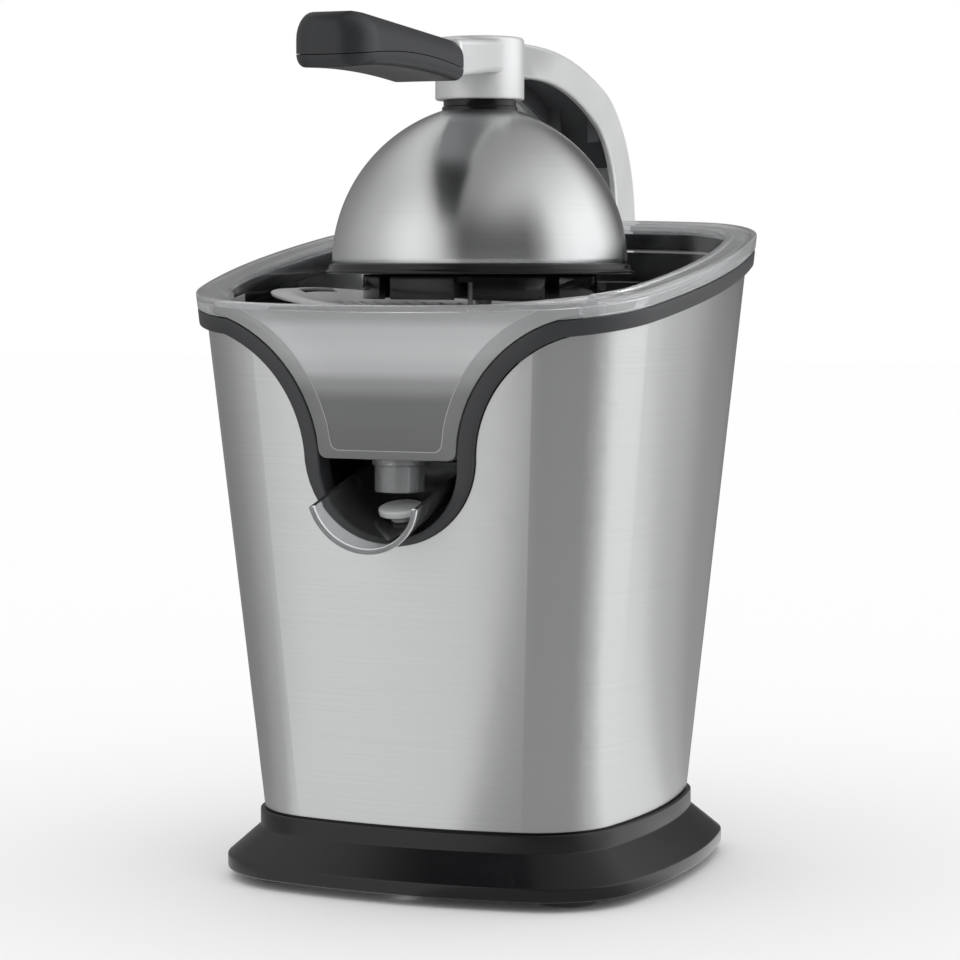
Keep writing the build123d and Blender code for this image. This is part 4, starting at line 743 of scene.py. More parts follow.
@dataclass(frozen=True)
class BodyForm:
    """Tapered body of bulged-square plan, with the sloping plane of its rim."""

    foot_z: float = 28.2
    foot_half: float = 78.6
    taper: float = 22.2 / 221.8
    side_r: float = 3.0
    corner_r: float = 0.44
    corner_at: float = 0.5089
    corner_start: float = 11.47
    rim_z: float = 246.7
    slope: float = 9.6

    def half(self, z: float) -> float:
        """Half width of the steel at a height."""
        return self.foot_half + self.taper * (z - self.foot_z)

    def quarter(self, side_steps: int = 8, corner_steps: int = 14) -> list[Vector]:
        """Unit plan from the middle of the +X side to the middle of the +Y side, the end left out."""
        side = [self.corner_start * k / side_steps for k in range(side_steps)]
        turn = 90 - 2 * self.corner_start
        corner = [self.corner_start + turn * k / corner_steps for k in range(corner_steps)]
        points = []
        for deg in side:
            lean = math.radians(deg)
            out = 1 - self.side_r + self.side_r * math.cos(lean)
            points.append(Vector((out, self.side_r * math.sin(lean))))
        for deg in corner:
            lean = math.radians(deg)
            reach = Vector((math.cos(lean), math.sin(lean))) * self.corner_r
            points.append(Vector((self.corner_at, self.corner_at)) + reach)
        after = [Vector((p.y, p.x)) for p in points[side_steps:0:-1]]
        tail = math.radians(90 - self.corner_start)
        turn_end = Vector((math.cos(tail), math.sin(tail))) * self.corner_r
        return [*points, Vector((self.corner_at, self.corner_at)) + turn_end, *after[1:]]

    def plan(self) -> list[Vector]:
        """Unit plan all the way round, starting at the middle of the front and running toward +X."""
        first = self.quarter()
        ring = []
        for turns in range(4):
            turn = Matrix.Rotation(math.radians(90 * turns - 90), 2)
            ring += [turn @ p for p in first]
        return ring

    def plane_z(self, drop: float) -> float:
        """Height on the axis of a plane under the rim plane by a drop."""
        return self.rim_z - drop / math.cos(math.radians(self.slope))

    def reach(self, proud: float, drop: float) -> float:
        """Half width of the sloping ring at the axis height of its plane."""
        return self.half(self.plane_z(drop)) + proud

    def slope_point(self, unit: Vector, proud: float, drop: float) -> Vector:
        """Point of a sloping ring that stands proud of the steel, under the rim plane by a drop."""
        rise = math.tan(math.radians(self.slope))
        half = self.reach(proud, drop) / (1 - self.taper * rise * unit.y)
        return Vector((unit.x * half, unit.y * half, self.plane_z(drop) + unit.y * half * rise))

    def front_point(self, x: float, z: float, proud: float) -> Vector:
        """Point on the front of the body, proud of the steel, at a width and height."""
        half = self.half(z) + proud
        side_r = self.side_r * half
        if abs(x) < side_r * math.sin(math.radians(self.corner_start)):
            return Vector((x, side_r - half - math.sqrt(side_r**2 - x**2), z))
        corner = self.corner_at * half
        return Vector((x, -corner - math.sqrt((self.corner_r * half) ** 2 - (abs(x) - corner) ** 2), z))

    def solid(self, name: str, low_z: float, high_z: float, proud: float) -> Piece:
        """Closed tapered block of the body between two heights."""
        half = self.half(low_z) + proud
        ring = [Vector((p.x * half, p.y * half, low_z)) for p in self.plan()]
        piece = Bench.chain(name, [*ring, ring[0]])
        bpy.ops.mesh.edge_face_add()
        scale = (self.half(high_z) + proud) / half
        Bench.grow(Vector((scale, scale, 1)), Vector((0, 0, low_z)), Vector((0, 0, high_z - low_z)))
        return Bench.close(piece)

    def level_sweep(self, name: str, profile: list[Vector]) -> Piece:
        """Carries a closed profile of half width and height level round the plan."""
        half, z = profile[0]
        ring = [Vector((p.x * half, p.y * half, z)) for p in self.plan()]
        piece = Bench.chain(name, [*ring, ring[0]])
        for there_half, there_z in [*profile[1:], profile[0]]:
            scale = there_half / half
            Bench.grow(Vector((scale, scale, 1)), Vector((0, 0, z)), Vector((0, 0, there_z - z)))
            half, z = there_half, there_z
        return Bench.close(piece)

    def slope_sweep(self, name: str, profile: list[Vector]) -> Piece:
        """Carries a closed profile of proudness and drop round the plan, along the sloping rim."""
        proud, drop = profile[0]
        ring = [self.slope_point(p, proud, drop) for p in self.plan()]
        piece = Bench.chain(name, [*ring, ring[0]])
        for there_proud, there_drop in [*profile[1:], profile[0]]:
            scale = self.reach(there_proud, there_drop) / self.reach(proud, drop)
            centre = Vector((0, 0, self.plane_z(drop)))
            lift = Vector((0, 0, self.plane_z(there_drop) - self.plane_z(drop)))
            Bench.grow(Vector((scale, scale, scale)), centre, lift)
            proud, drop = there_proud, there_drop
        return Bench.close(piece)


FORM = BodyForm()


@dataclass(frozen=True)
class SpoutOpening:
    """U-shaped opening with flared shoulders in the front of the body."""

    half: float = 35.0
    bottom: float = 138.0
    flare_r: float = 50.5
    flare_x: float = 85.5
    flare_z: float = 170.0
    flare_range: Pair = (20.0, 89.0)
    halvings: int = 40
    block_deg: float = 80.0
    block_steps: int = 28
    block_top: float = 262.0
    block_depth: float = 64.0

    def bottom_arc(self, inward: float, sill: float, steps: int) -> list[Vector]:
        """Width and height of points from the middle of the round bottom up to the right-hand side."""
        half = self.half - inward
        rise = self.flare_z - self.bottom - sill
        radius = (half**2 + rise**2) / (2 * rise)
        sweep = math.pi / 2 + math.atan2(self.flare_z - self.bottom - sill - radius, half)
        middle = self.bottom + sill + radius
        turns = [sweep * k / steps for k in range(steps)]
        return [Vector((radius * math.sin(t), middle - radius * math.cos(t))) for t in turns]

    def flare_point(self, inward: float, deg: float) -> Vector:
        """Width and height on the right-hand flare, where the arc has turned by an angle."""
        radius = self.flare_r + inward
        lean = math.radians(deg)
        return Vector((self.flare_x - radius * math.cos(lean), self.flare_z + radius * math.sin(lean)))

    def shoulder_deg(self, inward: float, proud: float, drop: float) -> float:
        """Angle at which the flare meets a plane under the sloping rim."""
        low, high = self.flare_range
        for _ in range(self.halvings):
            middle = (low + high) / 2
            x, z = self.flare_point(inward, middle)
            y = FORM.front_point(x, z, proud).y
            plane = FORM.plane_z(drop) + y * math.tan(math.radians(FORM.slope))
            low, high = (middle, high) if z < plane else (low, middle)
        return (low + high) / 2

    def block(
        self, name: str, inward: float, bottom_z: float, back_y: float, corner: float = 0.0
    ) -> Piece:
        """Flat-bottomed prism of the opening, from a depth to in front of the body.

        Args:
            name: Name of the new piece.
            inward: How far the sides stand in from the opening.
            bottom_z: Height of the flat bottom.
            back_y: Depth of the back.
            corner: Rounding of the two lower corners.

        Returns:
            The new piece.
        """
        start = math.degrees(math.asin((bottom_z - self.flare_z) / (self.flare_r + inward)))
        sweep = self.block_deg - start
        turns = [start + sweep * k / self.block_steps for k in range(self.block_steps + 1)]
        side = [self.flare_point(inward, deg) for deg in turns]
        # The two points next to the lower corner are left out, to make room for its rounding.
        right = [side[0], *side[3:], Vector((side[-1].x, self.block_top))]
        radii = [corner, *[0.0] * (len(right) - 1)]
        corners = [(p.x, p.y, r) for p, r in zip(right, radii)]
        outline = Bench.rounded([*corners, *[(-x, z, r) for x, z, r in reversed(corners)]], 6)
        points = [Vector((x, back_y, z)) for x, z in outline]
        return Bench.prism(name, points, Vector((0, -self.block_depth, 0)))


OPENING = SpoutOpening()


@dataclass(frozen=True)
class TrimBand:
    """Black trim: a ribbon under the rim that sweeps down round the spout opening."""

    proud: float = 2.9
    depth: float = 8.9
    upper_drop: float = 6.6
    lower_drop: float = 12.9
    width: float = 6.5
    sill: float = 3.0
    ease: float = 0.8
    ease_steps: int = 4
    arc_steps: int = 12
    flare_steps: int = 22
    joint: float = 2.0
    rest_count: int = 66

    def edge(self, inward: float, sill: float, drop: float) -> list[Vector]:
        """One long edge of the ribbon: round the opening's bottom, up the flares and round the back."""
        stop = OPENING.shoulder_deg(inward, self.proud, drop)
        drawn = OPENING.bottom_arc(inward, sill, self.arc_steps)
        turns = [stop * k / self.flare_steps for k in range(self.flare_steps + 1)]
        drawn += [OPENING.flare_point(inward, deg) for deg in turns]
        right = [FORM.front_point(x, z, self.proud) for x, z in drawn]
        units = [p for p in FORM.plan() if p.x > 0]
        rest = [FORM.slope_point(p, self.proud, drop) for p in units]
        # Both edges keep the same number of points, so that the ribbon bridges them one to one.
        after = [p for p in rest if p.y > 0 or p.x > right[-1].x + self.joint]
        right += after[-self.rest_count :]
        left = [Vector((-p.x, p.y, p.z)) for p in right[:0:-1]]
        middle = FORM.slope_point(Vector((0, 1)), self.proud, drop)
        return [*right, middle, *left]

    def build(self) -> None:
        """Builds the ribbon between its two long edges."""
        upper = self.edge(self.width, self.sill, self.upper_drop)
        lower = self.edge(0.0, 0.0, self.lower_drop)
        piece = Bench.ribbon("trim_band", upper, lower, self.depth, self.ease, self.ease_steps)
        Bench.show(piece, Body.FRAME, BLACK_TRIM, "top_trim")


@dataclass(frozen=True)
class BasePlinth:
    """Flared black base with softened edges."""

    corners: Corners = (
        (88.2, 7.2, 0.0), (88.2, 4.0, 0.0), (92.0, 4.0, 0.8), (92.0, 9.4, 0.9), (80.2, 20.3, 0.8),
        (80.2, 27.4, 0.7), (77.8, 27.4, 0.0), (77.8, 28.2, 0.0), (68.0, 28.2, 0.0),
        (68.0, 24.4, 0.0), (77.0, 24.4, 0.0), (77.0, 20.0, 0.0), (88.2, 9.6, 0.0),
    )

    def build(self) -> None:
        """Carries the profile round the plan of the body."""
        piece = FORM.level_sweep("plinth", Bench.rounded(list(self.corners), 5))
        Bench.show(piece, Body.FRAME, BLACK_BASE, "base_plinth")


@dataclass(frozen=True)
class ClearBowl:
    """Clear bowl: grooved rim, basin wall with its ledge, front pane over the chute, and nozzle."""

    wall: float = 2.5
    side: float = 3.2
    floor: float = 3.0
    corner: float = 3.4
    gap: float = 7.0
    proud: float = 2.85
    seam_drop: float = 2.4
    seam_gap: float = 0.05
    chute_z: float = 171.5
    chute_back: float = -60.0
    gate_z: float = 194.5
    nozzle_y: float = -82.0
    nozzle_r: float = 9.6
    nozzle_z: float = 158.5
    nozzle_wall: float = 2.0
    nozzle_seat: float = 0.2
    collar: float = 1.0
    collar_h: float = 2.4
    collar_bevel: float = 0.6
    skin_span: Pair = (150.0, 262.0)
    well_span: Pair = (190.0, 266.0)
    mouth_span: Pair = (150.0, 180.0)
    gate_half: float = 84.0
    gate_span: Pair = (-50.0, -63.0)
    gate_h: float = 60.0
    room_ease: float = 0.6
    pane_ease: float = 0.9
    edge_deg: float = 60.0
    middle_back: float = 4.0
    rim_corners: Corners = (
        (2.9, 0.0, 0.9), (2.9, 6.4, 0.9), (0.5, 6.4, 0.4), (0.5, 2.5, 0.6), (-9.0, 2.5, 0.0),
        (-9.0, 0.0, 0.7), (-6.4, 0.0, 0.3), (-5.8, 0.7, 0.3), (-0.6, 0.7, 0.3), (0.0, 0.0, 0.3),
    )
    wall_span: Pair = (-6.5, -9.0)
    wall_drops: Pair = (2.55, 24.0)
    ledge_z: float = 227.8
    ledge_t: float = 1.3
    band: float = 5.4
    line: float = 0.4
    basin_r: float = 80.0

    def build(self) -> None:
        """Builds rim, wall, pane and nozzle."""
        self.rim()
        self.basin_wall()
        self.pane()
        self.nozzle()

    def room(self) -> Piece:
        """Open space of the chute, behind the pane and up through the rim."""
        back = self.chute_back - self.wall
        piece = OPENING.block("chute_room", self.gap + self.side, self.chute_z + self.floor, back)
        inner_face = FORM.solid("inner_face", *self.skin_span, self.proud - self.wall)
        Bench.combine(piece, inner_face, "INTERSECT")
        return Bench.ease(piece, self.room_ease, angle=self.edge_deg)

    def rim(self) -> None:
        """Grooved rim, notched at the front where the pane comes up under it."""
        piece = FORM.slope_sweep("bowl_rim", Bench.rounded(list(self.rim_corners)))
        notch = OPENING.block("rim_notch", self.gap - self.seam_gap, self.chute_z, self.chute_back)
        Bench.combine(piece, Bench.trim_below_rim(notch, self.seam_drop), "DIFFERENCE")
        Bench.combine(piece, self.room(), "DIFFERENCE")
        Bench.show(Bench.smooth(piece), Body.FRAME, CLEAR_RIM, "juice_bowl")

    def basin_wall(self) -> None:
        """Square basin wall and the ledge that carries the strainer, open where the chute begins."""
        near, far = self.wall_span
        top, foot = self.wall_drops
        section = [Vector(p) for p in ((near, top), (near, foot), (far, foot), (far, top))]
        piece = FORM.slope_sweep("bowl_wall", section)
        ledge = FORM.solid("bowl_ledge", self.ledge_z - self.ledge_t, self.ledge_z, -self.gap)
        Bench.combine(ledge, Bench.rod("well", self.basin_r, *self.well_span, 96), "DIFFERENCE")
        Bench.combine(piece, ledge, "UNION")
        passage = OPENING.block("wall_passage", self.gap - self.seam_gap, self.chute_z, self.chute_back)
        Bench.combine(piece, passage, "DIFFERENCE")
        Bench.show(Bench.smooth(piece), Body.FRAME, CLEAR_BOWL)

    def pane(self) -> None:
        """Front pane with the open chute behind it and the way down into the nozzle."""
        piece = OPENING.block("front_pane", self.gap, self.chute_z, self.chute_back, self.corner)
        Bench.combine(piece, FORM.solid("face", *self.skin_span, self.proud), "INTERSECT")
        Bench.ease(piece, self.pane_ease, angle=self.edge_deg)
        Bench.trim_below_rim(piece, self.seam_drop + self.seam_gap)
        Bench.combine(piece, self.room(), "DIFFERENCE")
        plan = Bench.rectangle(-self.gate_half, self.gate_half, *self.gate_span)
        gate = [Vector((x, y, self.gate_z)) for x, y in plan]
        Bench.combine(piece, Bench.prism("gate", gate, Vector((0, 0, self.gate_h))), "DIFFERENCE")
        bore = self.nozzle_r - self.nozzle_wall
        mouth = Bench.rod("mouth", bore, *self.mouth_span, 48, Vector((0, self.nozzle_y, 0)))
        Bench.combine(piece, mouth, "DIFFERENCE")
        # The pane is split into its middle, its side bands and a thin strip along the creases; the strip
        # carries a painted highlight line.
        sides = Bench.copy(piece, "pane_sides")
        crease_highlight = Bench.copy(piece, "pane_crease_highlight")
        Bench.combine(piece, self.middle(self.line), "INTERSECT")
        Bench.combine(sides, self.middle(0.0), "DIFFERENCE")
        Bench.combine(crease_highlight, self.middle(self.seam_gap), "INTERSECT")
        Bench.combine(crease_highlight, self.middle(self.line - self.seam_gap), "DIFFERENCE")
        Bench.show(Bench.smooth(piece), Body.FRAME, CLEAR_PANE, "bowl_chute")
        Bench.show(Bench.smooth(sides), Body.FRAME, CLEAR_SIDE)
        Bench.show(Bench.smooth(crease_highlight), Body.FRAME, CLEAR_CREASE_HIGHLIGHT)

    def middle(self, inset: float) -> Piece:
        """Block of the pane's middle, inside the creases where side walls and floor stand behind it."""
        inward = self.gap + self.band + inset
        bottom = self.chute_z + self.floor + inset
        back = self.chute_back + self.middle_back
        return OPENING.block("pane_middle", inward, bottom, back, self.corner)

    def nozzle(self) -> None:
        """Short tube with a collar under the chute."""
        bore = self.nozzle_r - self.nozzle_wall
        brim = self.nozzle_r + self.collar
        brim_z = self.chute_z - self.collar_h
        top_z = self.chute_z - self.nozzle_seat
        tube = [
            (bore, self.nozzle_z, 0.5),
            (self.nozzle_r, self.nozzle_z, 0.7),
            (self.nozzle_r, brim_z - self.collar_bevel, 0.4),
            (brim, brim_z, 0.3),
            (brim, top_z, 0.3),
            (bore, top_z, 0.0),
        ]
        section = Bench.rounded(tube)
        piece = Bench.lathe("nozzle", [*section, section[0]], 48, Vector((0, self.nozzle_y, 0)))
        Bench.show(piece, Body.FRAME, CLEAR_NOZZLE)


@dataclass(frozen=True)
class Strainer:
    """Pressed steel strainer: a flange lifted into an ear at each side, and a sunk middle with slots."""

    sheet: float = 0.8
    lift: float = 3.4
    slot_w: float = 2.2
    slot_count: int = 48
    slot_span: Pair = (50.0, 63.0)
    hole_span: Pair = (72.4, 75.6)
    hole_half: float = 13.0
    hole_steps: int = 8
    steps: int = 144
    punch_foot: float = 215.0
    punch_h: float = 40.0
    rings: Corners = (
        (84.6, 1.0, 231.6), (80.8, 1.0, 231.6), (79.8, 1.0, 231.75), (78.8, 1.0, 231.85),
        (77.6, 1.0, 231.9), (76.4, 1.0, 231.8), (75.2, 1.0, 231.5), (66.0, 0.35, 229.2),
        (57.0, 0.05, 227.9), (52.0, 0.0, 227.6), (14.2, 0.0, 227.5),
    )

    def build(self) -> None:
        """Draws the sheet in from ring to ring, thickens it and cuts slots and finger holes."""
        radius, share, z = self.rings[0]
        circle = []
        for k in range(self.steps + 1):
            t = 2 * math.pi * k / self.steps
            level = z + self.lift * math.cos(2 * t)
            circle.append(Vector((math.cos(t) * radius, math.sin(t) * radius, level)))
        piece = Bench.chain("strainer_dish", circle)
        for there_radius, there_share, there_z in self.rings[1:]:
            scale = there_radius / radius
            level = there_share / share if share else 1.0
            Bench.grow(Vector((scale, scale, level)), Vector((0, 0, z)), Vector((0, 0, there_z - z)))
            radius, share, z = there_radius, there_share, there_z
        Bench.close(piece)
        Bench.thicken(piece, self.sheet)
        tools = [self.finger_hole(0.0), self.finger_hole(180.0)]
        half = self.slot_w / 2
        plan = Bench.rectangle(*self.slot_span, -half, half)
        for k in range(self.slot_count):
            turn = Matrix.Rotation(2 * math.pi * k / self.slot_count, 3, "Z")
            tools.append(self.punch(f"slot_{k}", [turn @ Vector((x, y, 0)) for x, y in plan]))
        Bench.combine(piece, Bench.join(*tools), "DIFFERENCE")
        Bench.show(Bench.smooth(piece), Body.FRAME, STRAINER_STEEL, "strainer")

    def punch(self, name: str, plan: list[Vector]) -> Piece:
        """Upright tool of a plan that reaches through the sheet."""
        foot = Vector((0, 0, self.punch_foot))
        return Bench.prism(name, [p + foot for p in plan], Vector((0, 0, self.punch_h)))

    def finger_hole(self, middle: float) -> Piece:
        """Tool for the curved hole in the ear at an angle."""
        shares = [2 * k / self.hole_steps - 1 for k in range(self.hole_steps + 1)]
        turns = [math.radians(middle + self.hole_half * share) for share in shares]
        near, far = self.hole_span
        outer = [Vector((math.cos(t), math.sin(t), 0)) * far for t in turns]
        inner = [Vector((math.cos(t), math.sin(t), 0)) * near for t in reversed(turns)]
        return self.punch("finger_hole", [*outer, *inner])


@dataclass(frozen=True)
class PressDome:
    """Spun dome over its black cup, with the collar under the hub."""

    radius: float = 60.0
    bulge: float = 5.0
    centre_z: float = 245.5
    thickness: float = 1.0
    neck_r: float = 15.7
    top_z: float = 307.0
    hub_z: float = 311.4
    cup_r: float = 58.7
    cup_wall: float = 2.4
    ring_r: float = 62.8
    ring_inner: float = 54.8
    ring_z: float = 241.5
    ring_steps: Corners = (
        (0.0, 0.0, 0.5), (0.0, 1.2, 0.4), (-1.3, 1.7, 0.3), (-1.7, 3.7, 0.4),
    )
    ring_lip: float = 1.6
    ring_rise: float = 2.0
    edge_in: float = 0.4
    edge_drop: float = 0.3
    edge_deg: float = 0.4
    bore_r: float = 4.4
    brim_in: float = 0.4
    brim_h: float = 1.6
    brim_bevel: float = 0.3
    collar_in: float = 1.0
    collar_sink: float = 1.0
    roof_z: float = 305.7
    roof_in: float = 1.3
    stud_r: float = 4.2
    rib_count: int = 8
    rib_t: float = 2.4
    rib_sink: float = 1.0
    rib_h: float = 1.8
    steps: int = 128

    def arc(self, radius: float, start: float, stop: float, steps: int) -> list[Vector]:
        """Points of a round side about the dome's centre, between two heights of angle."""
        turns = [math.radians(start + (stop - start) * k / steps) for k in range(steps + 1)]
        return [Vector((radius * math.cos(t), self.centre_z + radius * math.sin(t))) for t in turns]

    def build(self) -> None:
        """Builds dome, cup and collar."""
        shift = Vector((self.bulge, 0))
        stop = math.degrees(math.acos((self.neck_r + self.bulge) / (self.radius + self.bulge)))
        outer = [p - shift for p in self.arc(self.radius + self.bulge, self.edge_deg, stop, 44)]
        inner = [p - shift for p in self.arc(self.radius + self.bulge - self.thickness, stop, 0.0, 24)]
        foot = self.centre_z - self.edge_drop
        profile = [Vector((self.radius - self.edge_in, foot)), *outer, *inner]
        profile.append(Vector((self.radius - self.thickness, foot)))
        dome = Bench.lathe("dome_skin", [*profile, profile[0]], self.steps)
        Bench.show(dome, Body.LEVER, DOME_STEEL, "press_dome")
        self.cup()
        self.collar()

    def collar(self) -> None:
        """Black collar with a brim on the dome, under the hub."""
        brim = self.neck_r - self.brim_in
        neck = self.neck_r - self.collar_in
        foot = self.top_z - self.collar_sink
        brim_z = self.top_z + self.brim_h
        section = Bench.rounded(
            [
                (self.bore_r, foot, 0.0),
                (brim, foot, 0.2),
                (brim, brim_z, 0.4),
                (neck, brim_z + self.brim_bevel, 0.2),
                (neck, self.hub_z, 0.0),
                (self.bore_r, self.hub_z, 0.0),
            ]
        )
        piece = Bench.lathe("collar_ring", [*section, section[0]], 96)
        Bench.show(piece, Body.LEVER, BLACK_GLOSS, "dome_collar")

    def cup(self) -> None:
        """Black cup with its stepped edge ring and gripping ribs."""
        inner = self.cup_r - self.cup_wall
        corners = [
            (self.ring_inner, self.ring_z, 0.4),
            *[(self.ring_r + out, self.ring_z + up, turn) for out, up, turn in self.ring_steps],
            (self.cup_r, self.ring_z + self.ring_steps[-1][1], 0.0),
            (self.ring_inner, self.ring_z + self.ring_lip, 0.0),
        ]
        # The last corner only gives the first one its rounding.
        ring = Bench.rounded(corners)[:-1]
        profile = [
            *ring,
            *self.arc(self.cup_r, 0.0, 65.0, 20),
            Vector((self.neck_r - self.roof_in, self.roof_z)),
            Vector((self.stud_r, self.roof_z)),
            Vector((self.stud_r, self.centre_z + inner)),
            *self.arc(inner, 84.0, -1.0, 24),
            Vector((self.ring_inner, self.ring_z + self.ring_rise)),
        ]
        piece = Bench.lathe("press_cup_lining", [*profile, profile[0]], self.steps)
        outer = self.arc(inner + self.rib_sink, 4.0, 72.0, 16)
        blade = [*outer, *reversed(self.arc(inner - self.rib_h, 6.0, 70.0, 16))]
        Bench.join(piece, *Bench.blades("cup_rib", blade, self.rib_t, self.rib_count))
        Bench.show(piece, Body.LEVER, BLACK_GLOSS, "press_cup")


@dataclass(frozen=True)
class Reamer:
    """Black ribbed cone on a skirt with eight wide slots."""

    skirt_r: float = 47.5
    skirt_wall: float = 3.0
    foot_z: float = 231.4
    shelf_z: float = 241.2
    cone_r: float = 37.0
    tip_z: float = 286.2
    slot_w: float = 7.5
    slot_count: int = 8
    slot_turn: float = 14.0
    slot_h: float = 11.0
    overrun: float = 2.0
    belly: Pair = (26.64, 265.95)
    cone_lift: float = 0.6
    shelf_end: float = 1.5
    cone_wall: float = 3.0
    under_z: float = 238.2
    under_r: float = 34.0
    under_top: Pair = (3.0, 276.0)
    tip_points: Pairs = ((4.0, 2.0), (2.0, 0.4), (0.0, 0.0), (0.0, 8.0))
    rib_count: int = 10
    rib_t: float = 2.6
    rib_turn: float = 18.0
    rib_h: float = 2.6
    rib_sink: float = 1.5
    rib_z: float = 240.4
    rib_heads: Pairs = ((4.0, 3.0), (3.0, 5.0))
    rib_ease: float = 0.8
    flank_steps: int = 18
    steps: int = 128

    def flank(self, push: float, foot: Vector, head: Vector) -> list[Vector]:
        """Bulged flank of the cone between two points, pushed out by a distance."""
        radius, z = self.belly
        return Bench.through(foot, Vector((radius + push, z + push / 2)), head, self.flank_steps)

    def build(self) -> None:
        """Turns the cone and skirt, cuts the slots and adds the ribs."""
        inner = self.skirt_r - self.skirt_wall
        skirt = Bench.rounded(
            [
                (inner, self.foot_z, 0.3),
                (self.skirt_r, self.foot_z, 0.4),
                (self.skirt_r, self.shelf_z, 0.9),
                (self.cone_r + self.shelf_end, self.shelf_z, 0.0),
            ]
        )
        tip = [Vector((r, self.tip_z - down)) for r, down in self.tip_points]
        cone = self.flank(0.0, Vector((self.cone_r, self.shelf_z + self.cone_lift)), tip[0])
        under = self.flank(-self.cone_wall, Vector((self.under_r, self.under_z)), Vector(self.under_top))
        # The rounding of the first skirt corner is left out, where the profile closes.
        profile = [
            Vector((inner, self.foot_z)),
            *skirt[5:],
            *cone,
            *tip[1:],
            *reversed(under),
            Vector((inner, self.under_z)),
        ]
        piece = Bench.lathe("reamer_head", [*profile, profile[0]], self.steps)
        half = self.slot_w / 2
        plan = Bench.rectangle(inner - self.overrun, self.skirt_r + self.overrun, -half, half)
        for k in range(self.slot_count):
            turn = Matrix.Rotation(math.radians(self.slot_turn + 360 * k / self.slot_count), 3, "Z")
            box = [turn @ Vector((x, y, self.foot_z - self.overrun)) for x, y in plan]
            slot = Bench.prism("skirt_slot", box, Vector((0, 0, self.slot_h)))
            Bench.combine(piece, slot, "DIFFERENCE")
        self.ribs(piece)
        Bench.smooth(piece)
        Bench.show(piece, Body.REAMER, BLACK_GLOSS, "reamer_cone")

    def ribs(self, piece: Piece) -> None:
        """Adds the rounded ribs to the cone."""
        crest_foot = Vector((self.cone_r + self.rib_h, self.rib_z))
        root_foot = Vector((self.cone_r - self.rib_sink, self.rib_z))
        (crest_r, crest_down), (root_r, root_down) = self.rib_heads
        crest = self.flank(self.rib_h, crest_foot, Vector((crest_r, self.tip_z - crest_down)))
        root = self.flank(-self.rib_sink, root_foot, Vector((root_r, self.tip_z - root_down)))
        blade = [*crest, *reversed(root)]
        ribs = Bench.blades("reamer_rib", blade, self.rib_t, self.rib_count, self.rib_turn)
        for rib in ribs:
            Bench.ease(rib, self.rib_ease, angle=50.0)
        Bench.join(piece, *ribs)


